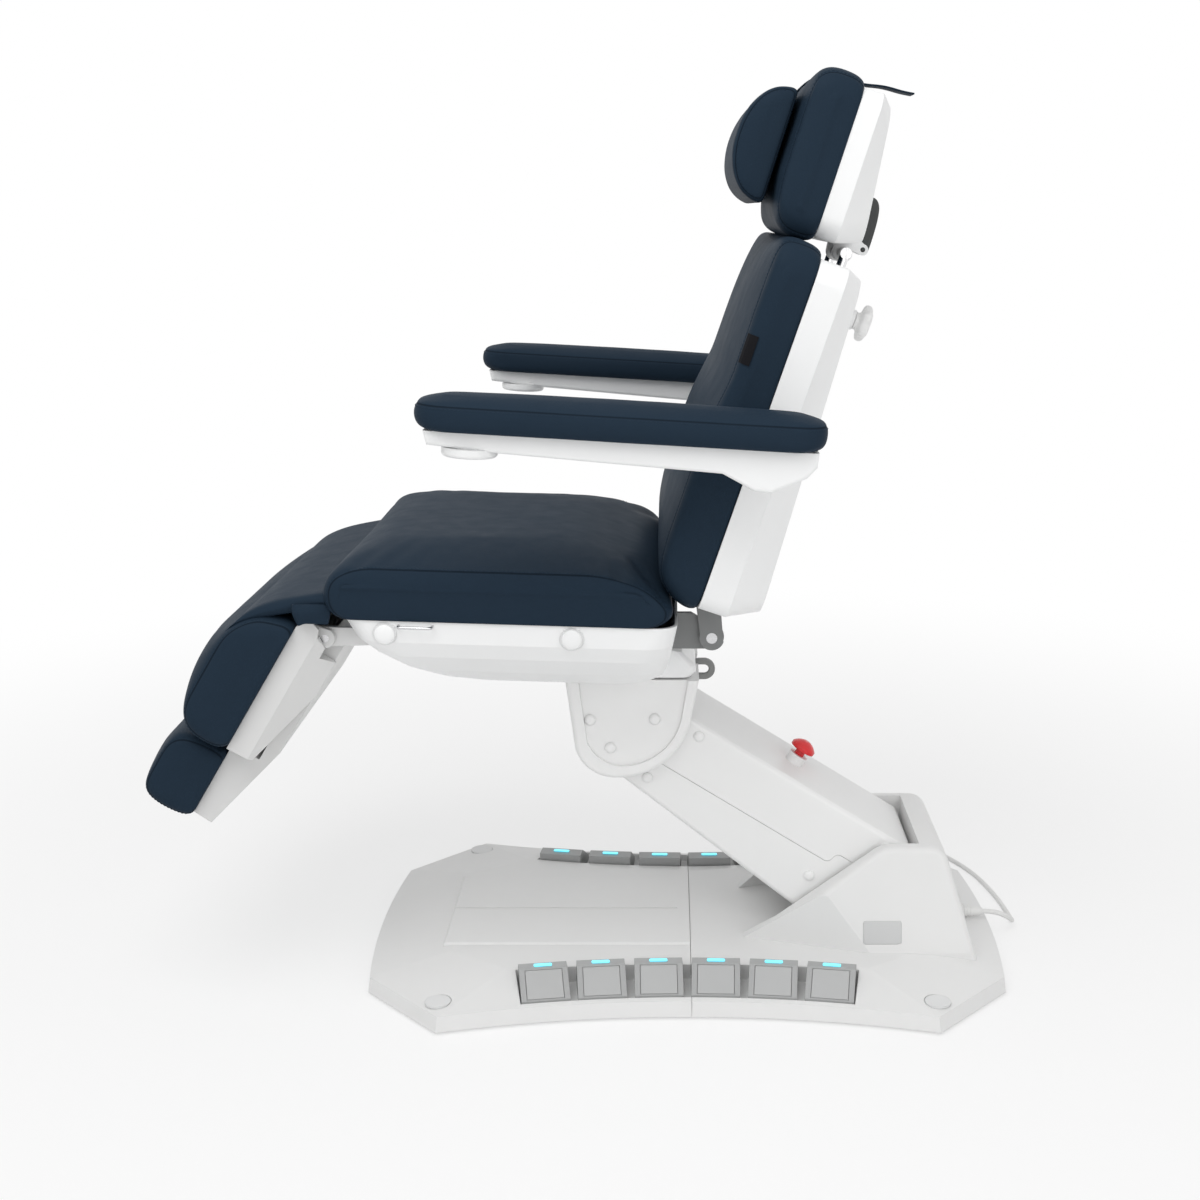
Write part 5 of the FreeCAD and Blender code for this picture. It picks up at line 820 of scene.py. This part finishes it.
wrapCommon = {
    "step": 10.0,
    "seamIn": 5.0,  # from the widest part in to the seam
    "dome": 2.0,
    "pressure": 4.0,
    "cap": 5.0,  # the most that the stuffing may move a point
    "slack": 0.25,
    "pucker": 0.45,
    "seamDepth": 0.8,
    "stitchBeside": (-2,),  # loops from the seam to its row of stitches
    "fill": 0.85,
}
seatPad = {
    **wrapCommon, "name": "seatCushion", "node": "seat_cushion", "body": "seat",
    "place": seatAt, "lying": True,
    "rows": [(0, -234, 201, 299.6, 20), (9.6, -249, 221, 302.4, 24), (22.2, -255, 227, 303, 26),
             (37, -256, 215, 303, 26), (53.3, -252, 195, 303, 28), (66.6, -242, 170, 300, 36),
             (75, -228, 141, 294, 46), (87, -190, 97, 248, 60), (92, -140, 57, 183, 60)],
}
backPad = {
    **wrapCommon, "name": "backCushion", "node": "back_cushion", "body": "back",
    "place": backAt, "lying": False,
    "thinner": (285, 385, 0.85), "seamIn": 20.0,  # thinner from one height to the next, to this share
    "rows": [(45, 57, 563, 286.8, 34), (54, 51, 569, 289.4, 38), (83, 60, 571, 290, 40),
             (104, 77, 570, 288.5, 40), (114, 97, 562, 276, 42), (121, 128, 532, 228, 50),
             (127.5, 165, 490, 150, 50), (131, 205, 455, 70, 40)],
}
headPad = {
    **wrapCommon, "name": "headCushion", "node": "head_cushion", "body": "head",
    "place": headAt, "lying": False,
    "step": 9.0, "cap": 4.0, "thinner": (85, -5, 0.9), "seamIn": 13.0,
    "rows": [(57, 4, 216, 196.8, 30), (65.5, -2, 223, 199.4, 34), (99.3, -2, 225, 200, 36),
             (115.5, 5, 220, 197, 36), (122, 14, 213, 191, 38), (129, 44, 192, 160, 40),
             (132.5, 72, 166, 124, 40)],
}
legPad = {
    **wrapCommon, "name": "legCushion", "node": "leg_cushion", "body": "leg",
    "place": legAt, "lying": True,
    "rows": [(41, -202, 0, 281.8, 16), (49.4, -212, 4, 284.4, 20), (69.6, -215, -2, 285, 22),
             (89, -214, -9, 285, 22), (107, -207, -27, 284.5, 24), (119, -195, -45, 280, 28),
             (129, -176, -66, 266, 30), (140, -150, -86, 228, 26), (146, -134, -98, 150, 16)],
}
footPad = {
    **wrapCommon, "name": "footCushion", "node": "foot_cushion", "body": "foot",
    "place": legAt, "lying": True,
    "step": 9.0, "cap": 4.0,
    "rows": [(39, -336, -231, 241.8, 12), (48, -344, -228, 244.4, 16), (80, -348, -229, 245, 18),
             (109, -345, -236, 243.5, 20), (122, -334, -252, 233, 24), (129, -313, -274, 185, 14)],
}


def buildWrapPad(spec):
    rings, seams, spec["baseCount"] = wrapRings(spec)
    finishSoft(spec, rings, seams)


for spec in (seatPad, backPad, headPad, legPad, footPad):
    buildWrapPad(spec)
print("cushions: seat, back, head, leg and foot with their seams")


# Arm pads: plan loops stacked upwards, with one seam round the pad below its top
armPadMade = {
    **wrapCommon, "baseCount": 0, "cap": 3.5, "slack": 0.3, "fill": 0.8,
    "offset": 386.0,
    "corner": 37.0,
    "count": 120,
    "seamAt": 57.0,
    "underShares": (0.88, 0.5),
    "crown": 1.2,
    # rows of height, low end, high end and half width
    "rows": [(24, -450, 40, 41), (30, -461, 51, 48), (42, -466, 55, 49), (55, -464, 54, 49),
             (63, -456, 47, 42), (69, -430, 24, 22)],
    "heights": (24, 25.5, 28, 32, 37, 42, 47, 51, 54, 56, 57, 58, 59.7, 61.8, 64.3, 66.6, 68.3, 69),
}
planCorner = {"steps": 8, "leastFlat": 2.0}


def planLoop(low, high, half, corner, count):
    corner = min(corner, half - planCorner["leastFlat"])
    steps = planCorner["steps"]
    path = []
    for x, y, start in ((high - corner, -half + corner, -90), (high - corner, half - corner, 0),
                        (low + corner, half - corner, 90), (low + corner, -half + corner, 180)):
        for k in range(steps + 1):
            turn = math.radians(start + 90 * k / steps)
            path.append((x + corner * math.cos(turn), y + corner * math.sin(turn)))
    return evenly(path + [path[0]], count)


def rowAt(rows, height):
    for a, b in zip(rows, rows[1:]):
        if height <= b[0]:
            return between(a, b, (height - a[0]) / (b[0] - a[0]))
    return rows[-1]


def buildArmPad(side, sign):
    spec = {**armPadMade, "name": f"armPad{side.capitalize()}", "node": f"arm_pad_{side}"}
    spec["body"] = f"armrest_{side}"
    rows = smoothRows(spec["rows"])
    loops = [(h, planLoop(*rowAt(rows, h)[1:], spec["corner"], spec["count"])) for h in spec["heights"]]
    under, over = loops[0], loops[-1]
    loops = [(under[0], towardsSpine(under[1], share)) for share in spec["underShares"]] + loops
    loops += [(over[0] + spec["crown"] * share, towardsSpine(over[1], share))
              for share in closing["shares"]]
    rings = [[at(restAt, x, sign * spec["offset"] + y, h) for x, y in loop] for h, loop in loops]
    first = len(spec["underShares"])
    seam = first + spec["heights"].index(spec["seamAt"])
    finishSoft(spec, rings, [seam], heldRows=range(first + 1))


buildArmPad("left", -1)
buildArmPad("right", 1)
print("arm pads: two, with a seam all round")

# Head pillow: a D section along Y, with a panel sewn in each end
pillowMade = {
    **wrapCommon, "name": "headPillow", "node": "head_pillow", "body": "head", "cap": 3.0, "slack": 0.6,
    "pucker": 0.7, "fill": 0.7, "stitchBeside": (2,),
    "backX": -137.0,
    "depth": 63.0,
    "middleZ": 105.0,
    "rise": 79.0,
    "flatShare": 0.97,  # how much of the height is flat at the back
    "bulge": 0.8,
    "depthInset": 1.7,
    "backInset": 0.7,
    "baseCount": 16,
    "frontCount": 46,
    "stations": 14,
    "stationStep": 11.0,
    "ends": [(154, 0), (158, 0.5), (161, 1.3), (163.2, 2.6), (164.4, 3.9), (164.8, 4.9), (165, 5.6),
             (165.5, 6.4), (166.1, 8.5), (166.8, 12)],  # place across and inset
    "seamAt": 5,
    "tip": 167.2,
    "tipShares": (0.35, 0.65, 0.9),
}


def pillowLoop(spec, inset):
    rise, depth = spec["rise"] - inset, spec["depth"] - inset * spec["depthInset"]
    back = spec["backX"] - inset * spec["backInset"]
    count = spec["baseCount"]
    flat = spec["flatShare"]
    loop = [(spec["middleZ"] - rise * flat + 2 * rise * flat * k / (count - 1), back) for k in range(count)]
    for k in range(1, spec["frontCount"] + 1):
        turn = math.pi / 2 - math.pi * k / (spec["frontCount"] + 1)
        out = depth * math.cos(turn) ** spec["bulge"]
        loop.append((spec["middleZ"] + rise * math.sin(turn), back - out))
    return loop


def buildPillow(spec):
    stations = [(k * spec["stationStep"], 0.0) for k in range(spec["stations"])] + spec["ends"]
    seam = spec["stations"] + spec["seamAt"]
    loops = [(y, pillowLoop(spec, inset)) for y, inset in stations]
    last = loops[-1][1]
    loops += [(spec["tip"] + share, towardsSpine(last, share)) for share in spec["tipShares"]]
    rings = bothSides(loops, lambda z, y, x: at(headAt, x, y, z))
    middle = len(loops) - 1
    finishSoft(spec, rings, [middle - seam, middle + seam])


buildPillow(pillowMade)
print("pillow: D section with two end panels")

# Pillow strap: webbing over the head cushion, its free tail curling up behind
strapMade = {
    "points": [(-130, 112), (-130, 150), (-128, 178), (-122, 200), (-112, 214), (-98, 222), (-78, 226),
               (-56, 229), (-38, 232), (-20, 236.5), (-4, 238), (12, 238), (28, 240.5)],
    "width": 40.0,
    "thick": 2.4,
    "samples": 90,
    "clear": 0.7,  # left between the webbing and the cushion
    "smoothings": 6,
    "selvedge": 1.2,
    "groove": (4.2, 4.8, 5.4),  # from each edge in to the woven groove's lip, bottom and other lip
    "grooveShare": 0.72,
}


def ribbonPath(points, samples, steps=10):
    curve = splineAlong("routeOnly", [(x, 0, z) for x, z in points], steps)
    holder = bpy.data.objects.new("routeOnly", curve)
    path = [(v.co.x, v.co.z) for v in bpy.data.meshes.new_from_object(holder).vertices]
    bpy.data.objects.remove(holder)
    bpy.data.curves.remove(curve)
    return [path[0]] + evenly(path, samples) + [path[-1]]


def sideways(path):
    found = []
    for k in range(len(path)):
        (ax, az), (bx, bz) = path[max(k - 1, 0)], path[min(k + 1, len(path) - 1)]
        run = math.hypot(bx - ax, bz - az)
        found.append((-(bz - az) / run, (bx - ax) / run))
    return found


def webbingOutline(half, spec):
    edge, dip = spec["selvedge"], spec["grooveShare"]
    lip, bottom, otherLip = spec["groove"]
    over = [(half, 0.5), (half - edge, 1), (half - lip, 1), (half - bottom, dip), (half - otherLip, 1)]
    top = [(-y, lift) for y, lift in over] + over[::-1]
    return [(-half, -0.5)] + top + [(half, -0.5), (half - edge, -1), (-half + edge, -1)]


def buildStrap(spec):
    path = ribbonPath(spec["points"], spec["samples"])
    half, thick = spec["width"] / 2, spec["thick"] / 2
    surface = BVHTree.FromObject(bpy.data.objects["headCushion"], bpy.context.evaluated_depsgraph_get())
    hugged = []
    for x, z in path:
        point = at(headAt, x, 0, z)
        near, normal = surface.find_nearest(point)[:2]
        short = (thick + spec["clear"]) / 1000 - (point - near).dot(normal)
        lift = normal * max(short, 0) * 1000
        c, s = math.cos(headAt["lean"]), math.sin(headAt["lean"])
        hugged.append((x + lift.x * c - lift.z * s, z + lift.x * s + lift.z * c))
    for _ in range(spec["smoothings"]):
        inner = [between(b, between(a, c, 0.5), 0.5) for a, b, c in zip(hugged, hugged[1:], hugged[2:])]
        hugged = [hugged[0], *inner, hugged[-1]]
    rings = []
    for (x, z), (outX, outZ) in zip(hugged, sideways(hugged)):
        rings.append([at(headAt, x + outX * thick * lift, y, z + outZ * thick * lift)
                      for y, lift in webbingOutline(half, spec)])
    piece = meshFromRings("pillowStrap", rings, ["strapWeb"])
    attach(piece, "head")
    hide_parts("pillow_strap")


buildStrap(strapMade)
print("strap: one run of webbing")

# Knee bridge: the padded gusset between the seat and the leg cushion
bridgeMade = {
    "name": "kneeBridge",
    "line": [(-318, 646), (-345, 643), (-374, 638), (-404, 633), (-430, 627.5), (-452, 620), (-470, 611),
             (-486, 597), (-497, 581)],
    "half": 284.0,
    "thick": 24.0,
    "count": 22,
    "narrower": 0.055,  # at the leg's end, as a share of its width
    "stations": (0, 40, 80, 120, 160, 200, 230, 250, 264),
    "ends": [(12, 0.02), (7, 0.07), (3.5, 0.16), (1.2, 0.3), (0, 0.46)],  # from each end, and its tuck
    "fill": 0.6,
    "start": (-352, 636),
    "end": (-440, 604),
}


def bendWithKnee(piece):
    start, end = (at(room, x, 0, z) for x, z in (bridgeMade["start"], bridgeMade["end"]))
    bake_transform(piece)


def buildBridge(spec):
    outer = ribbonPath(spec["line"], spec["count"])
    thick = spec["thick"]
    inner = [(x - outX * thick, z + outZ * thick) for (x, z), (outX, outZ) in zip(outer, sideways(outer))]
    stations = [(y, 0.0) for y in spec["stations"]] + [(spec["half"] - y, tuck) for y, tuck in spec["ends"]]
    loops = []
    for y, tuck in stations:
        top = [between(a, b, tuck) for a, b in zip(outer, inner)]
        low = [between(b, a, tuck) for a, b in zip(outer, inner)]
        loops.append((y, top + low[::-1]))
    far, near = spec["line"][-1][0], spec["line"][0][0]

    def put(x, y, z):
        return at(room, x, y * (1 - spec["narrower"] * max((x - near) / (far - near), 0) ** 2), z)

    piece = meshFromRings(spec["name"], bothSides(loops, put), ["navyHide"])
    subdivided(piece)
    bendWithKnee(piece)


buildBridge(bridgeMade)
print("bridge: the knee gusset")


# Knee flaps: loose leather folded over at each end of the gusset
flapMade = {
    "edge": 285.0,
    "thick": 1.8,
    "across": 22,
    "down": 14,
    # columns of x, z and depth in from the edge, from the fold to the seat
    "columns": [[(-393, 623, 3), (-392, 613, 2), (-389, 600, 3)],
                [(-401, 626, 2), (-400.5, 614, -3), (-394, 597, 0)],
                [(-396, 627, -4), (-394, 614, -9), (-391, 597, -5)],
                [(-384, 627.5, -5), (-382, 616, -9), (-384, 600, -6)],
                [(-368, 627, -3), (-367, 616, -6), (-371, 599, -3)],
                [(-350, 625, 3), (-349, 614, 2), (-353, 597, 2)]],
}


def buildFlap(name, sign, spec):
    columns = [curveThrough(column, spec["down"]) for column in spec["columns"]]
    lines = [curveThrough([column[j] for column in columns], spec["across"]) for j in range(spec["down"])]
    points = [at(room, x, sign * (spec["edge"] - out), z) for line in lines for x, z, out in line]
    faces = []
    for j in range(spec["down"] - 1):
        for k in range(spec["across"] - 1):
            a = j * spec["across"] + k
            faces.append((a, a + 1, a + 1 + spec["across"], a + spec["across"]))
    flap = smoothPiece(name, points, faces, ["navyHide"])
    skin = flap.modifiers.new("skin", "SOLIDIFY")
    skin.thickness = spec["thick"] / 1000
    skin.offset = 0
    subdivided(flap)
    bendWithKnee(flap)


buildFlap("kneeFlapLeft", -1, flapMade)
buildFlap("kneeFlapRight", 1, flapMade)
print("flaps: one at each end of the gusset")


# Back tab: a plain ribbon sewn into the near seam of the back cushion
tabMade = {
    "front": 104.0,
    "rear": 90.0,
    "low": 396.0,
    "high": 436.0,
    "lift": 0.7,
    "thick": 1.1,
    "count": (6, 9),
    "probeFrom": -400.0,  # where the ray that finds the cushion's side starts
    "sideY": -290.0,
}


def buildTab(spec):
    cushion = bpy.data.objects["backCushion"]
    surface = BVHTree.FromObject(cushion, bpy.context.evaluated_depsgraph_get())
    wide, tall = spec["count"]
    points, faces = [], []
    for layer in (0, 1):
        for j in range(tall):
            for k in range(wide):
                depth = spec["front"] + (spec["rear"] - spec["front"]) * k / (wide - 1)
                along = spec["low"] + (spec["high"] - spec["low"]) * j / (tall - 1)
                probe = at(backAt, -depth, spec["probeFrom"], along)
                touch = surface.ray_cast(probe, Vector((0, 1, 0)))[0]
                touch = touch or at(backAt, -depth, spec["sideY"], along)
                points.append(touch - Vector((0, (spec["lift"] + spec["thick"] * layer) / 1000, 0)))
    size = wide * tall
    for j in range(tall - 1):
        for k in range(wide - 1):
            a = j * wide + k
            faces.append((a, a + wide, a + wide + 1, a + 1))
            faces.append((a + size, a + size + 1, a + size + wide + 1, a + size + wide))
    rim = list(range(wide)) + [j * wide + wide - 1 for j in range(1, tall)]
    rim += [(tall - 1) * wide + k for k in range(wide - 2, -1, -1)]
    rim += [j * wide for j in range(tall - 2, 0, -1)]
    for a, b in zip(rim, rim[1:] + rim[:1]):
        faces.append((a, b, b + size, a + size))
    mesh = bpy.data.meshes.new("backTab")
    mesh.from_pydata(points, [], faces)
    mesh.materials.append(finish["blackTab"])
    tab = newObject("backTab", mesh)
    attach(tab, "back")


buildTab(tabMade)
print("tab: one ribbon on the back cushion")


# Small hard pieces
def hardPiece(name, groups, look, body, slotName, closeFirst=True):
    points, faces = [], []
    for rings in groups:
        addRings(points, faces, rings, closeFirst, True)
    piece = smoothPiece(name, points, faces, [look])
    faceOutward(piece.data, False)
    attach(piece, body)
    return piece


# Pedal lights: a lens over the recess on each pedal's land
lightMade = {
    "ring": 1413.9,  # the pedals stand on an arc of this radius about a centre beyond the base
    "centre": 1616.0,
    "pitch": 3.5,
    "pedals": 6,
    "long": 27.0,
    "wide": 8.4,
    "corner": 2.6,
    "cornerEase": 0.6,
    "count": 40,
    "top": 57.0,
    "steps": [(0.1, 0.0), (0.75, 0.0), (1.1, 0.25), (1.25, 0.8), (1.35, 1.8)],  # height and inset
}


def buildPedalLights(side, sign, spec):
    lenses = []
    halfLong, halfWide = spec["long"] / 2, spec["wide"] / 2
    middleOne = (spec["pedals"] + 1) / 2
    for k in range(1, spec["pedals"] + 1):
        turn = math.radians(spec["pitch"] * (k - middleOne)) * sign + (math.pi if sign > 0 else 0)
        c, s = math.cos(turn), math.sin(turn)
        middleX, middleY = -spec["ring"] * s, sign * spec["centre"] + spec["ring"] * c
        rings = []
        for up, inset in spec["steps"]:
            corner = spec["corner"] - inset * spec["cornerEase"]
            loop = planLoop(-halfLong + inset, halfLong - inset, halfWide - inset, corner, spec["count"])
            rings.append([at(baseAt, middleX + x * c - y * s, middleY + x * s + y * c, spec["top"] + up)
                          for x, y in loop])
        lenses.append(rings)
    hardPiece(f"pedalLights{side}", lenses, "pedalLight", "base", "pedal_grey")


buildPedalLights("Left", -1, lightMade)
buildPedalLights("Right", 1, lightMade)

# Bare plate on the tower's near face, which leans in as it rises
plateMade = {
    "low": (269.0, 59.0),
    "high": (328.0, 95.0),
    "footY": 158.0,  # the tower's half width at its foot and top
    "topY": 122.0,
    "footZ": 46.0,
    "topZ": 204.0,
    "corner": 3.0,
    "count": 48,
    "steps": [(-0.2, 0.0), (0.5, 0.0), (0.8, 0.3), (0.85, 2.5)],  # height and inset
}


def buildPlate(spec):
    slope = math.atan2(spec["footY"] - spec["topY"], spec["topZ"] - spec["footZ"])
    middleX, middleZ = ((a + b) / 2 for a, b in zip(spec["low"], spec["high"]))
    halfX, halfZ = ((b - a) / 2 for a, b in zip(spec["low"], spec["high"]))
    faceY = -spec["footY"] + (middleZ - spec["footZ"]) * math.tan(slope)
    rings = []
    for out, inset in spec["steps"]:
        loop = planLoop(-halfX + inset, halfX - inset, halfZ - inset, spec["corner"], spec["count"])
        rings.append([at(baseAt, middleX + x, faceY + z * math.sin(slope) - out * math.cos(slope),
                         middleZ + z * math.cos(slope) + out * math.sin(slope)) for x, z in loop])
    hardPiece("towerPlate", [rings], "plateGrey", "base", "cover_plastic")


buildPlate(plateMade)

# Screw covers: low domes over the flat caps, as rows of radius and distance out
domeMade = {
    "turns": 28,
    "small": [(8.5, 0.0), (8.5, 0.7), (8.0, 1.2), (7.6, 1.5), (7.2, 2.6), (5.8, 3.6), (3.6, 4.2),
              (1.2, 4.4)],
    "large": [(16.2, 0.0), (16.2, 0.9), (15.4, 1.6), (14.6, 3.2), (12.0, 5.0), (8.0, 6.2), (3.0, 6.7)],
    "armSpots": [(-352.6, 34), (-12, 34), (-384, -63.6), (-87, -66.6)],
    "armFace": 94.8,
    "yokeSpots": [(-80, 21), (17, 22), (-50, -23)],
    "yokeFace": 117.0,
    "capRadius": 15.0,
    "capSunk": 4.2,
}


def buildDomes(name, place, spots, faceY, shape, look, body, slotName):
    domes = []
    for x, z in spots:
        for sign in (-1, 1):
            rings = []
            for radius, out in domeMade[shape]:
                y = sign * (faceY + out)
                rings.append([at(place, x + a, y, z + b) for a, b in circle(domeMade["turns"], radius)])
            domes.append(rings)
    hardPiece(name, domes, look, body, slotName, closeFirst=False)


def seatCapSpots():
    low, high = (corner * 1000 for corner in map(Vector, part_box("seat_shell_caps")))
    radius = domeMade["capRadius"]
    spots = [(low.x + radius, high.z - radius), (high.x - radius, low.z + radius)]
    return spots, high.y - domeMade["capSunk"]


buildDomes("armDomes", armAt, domeMade["armSpots"], domeMade["armFace"], "small", "coverWhite", "lift_arm",
           "cover_plastic")
buildDomes("yokeDomes", topAt, domeMade["yokeSpots"], domeMade["yokeFace"], "small", "coverWhite", "yoke",
           "cover_plastic")
buildDomes("seatDomes", room, *seatCapSpots(), "large", "shellWhite", "seat", "shell_plastic")

# Cord boot: ribbed strain relief round the lead
bootMade = {
    "start": 450.0,
    "long": 31.0,
    "z": 43.5,
    "wide": 8.6,
    "narrow": 5.4,
    "ribs": 6,
    "ribSteps": 6,
    "raised": (1, 2, 3),  # which of a rib's steps stand proud
    "rib": 0.9,
    "turns": 28,
}


def buildBoot(spec):
    rings = []
    steps = spec["ribs"] * spec["ribSteps"]
    for k in range(steps + 1):
        share = k / steps
        rib = spec["rib"] if k % spec["ribSteps"] in spec["raised"] else 0.0
        radius = spec["wide"] + (spec["narrow"] - spec["wide"]) * share + rib
        x = spec["start"] + spec["long"] * share
        rings.append([at(baseAt, x, a, spec["z"] + b) for a, b in circle(spec["turns"], radius)])
    hardPiece("cordBoot", [rings], "cordWhite", "base", "cord_plastic")


buildBoot(bootMade)

# Head lever: a flat paddle on its pin, leaning in to the head shell
leverMade = {
    "pin": (30.0, 13.0),
    "outline": [(0, -8), (6.5, -6), (9.3, 3), (8.6, 36), (5.6, 59), (0.5, 70), (-6.5, 74.5), (-13, 73),
                (-16, 67), (-13, 33), (-9.2, 4), (-6.5, -5.5), (0, -8)],
    "half": 15.0,
    "count": 64,
    "outlineSteps": 8,
    "edges": [(1.0, 0.4), (1.0, 0.28), (0.975, 0.13), (0.92, 0.04), (0.84, 0.0)],  # place across and tuck
    "pinRadius": 3.5,
    "pinHalf": 22.0,
    "pinTurns": 24,
    "pinEnds": [(-1, 0.8), (-0.97, 1), (0.97, 1), (1, 0.8)],  # shares of its half length and radius
}


def buildLever(spec):
    pinAt = hang(headAt, *spec["pin"], math.degrees(headAt["lean"]))
    outline = evenly(smoothRows(spec["outline"], spec["outlineSteps"]), spec["count"])
    upright = [(z, x) for x, z in outline]
    stations = [(-spec["half"] * share, tuck) for share, tuck in spec["edges"]]
    stations += [(-y, tuck) for y, tuck in reversed(stations)]
    paddle = [[at(pinAt, x, y, z) for z, x in towardsSpine(upright, tuck)] for y, tuck in stations]
    pin = []
    for share, radius in spec["pinEnds"]:
        y = spec["pinHalf"] * share
        pin.append([at(pinAt, a, y, b) for a, b in circle(spec["pinTurns"], radius * spec["pinRadius"])])
    lever = hardPiece("headLever", [paddle, pin], "gripDark", "head_lever", "grip_black")
    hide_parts("head_lever")


buildLever(leverMade)

# Clamp knob: soft lobes on a round neck, as rows of distance out, radius and lobe height
knobMade = {
    "foot": (58.0, 489.0),
    "lobes": 5,
    "turns": 90,
    "rowSteps": 2,
    "rows": [(0, 13, 0), (3.5, 13, 0), (6, 14.2, 0.2), (7.4, 17.5, 0.9), (8.6, 21.3, 2.2),
             (10.6, 23.8, 3.1), (13.5, 24.7, 3.5), (17, 24.7, 3.5), (20, 23.6, 3.1), (22, 21, 2.2),
             (23.2, 17, 1), (23.6, 12, 0.3), (23.2, 8, 0), (22.6, 6, 0)],
}


def buildKnob(spec):
    knobAt = hang(backAt, *spec["foot"], math.degrees(backAt["lean"]))
    rings = []
    turns = turnsOf(spec["turns"])
    for out, radius, lobe in smoothRows(spec["rows"], spec["rowSteps"]):
        reaches = [radius + lobe * math.cos(spec["lobes"] * turn) for turn in turns]
        rings.append([at(knobAt, out, reach * math.cos(turn), reach * math.sin(turn))
                      for reach, turn in zip(reaches, turns)])
    knob = hardPiece("clampKnob", [rings], "coverWhite", "clamp_knob", "cap_plastic")
    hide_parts("clamp_knob")


buildKnob(knobMade)
print("small pieces: pedal lights, plate, domes, cord boot, head lever, clamp knob")
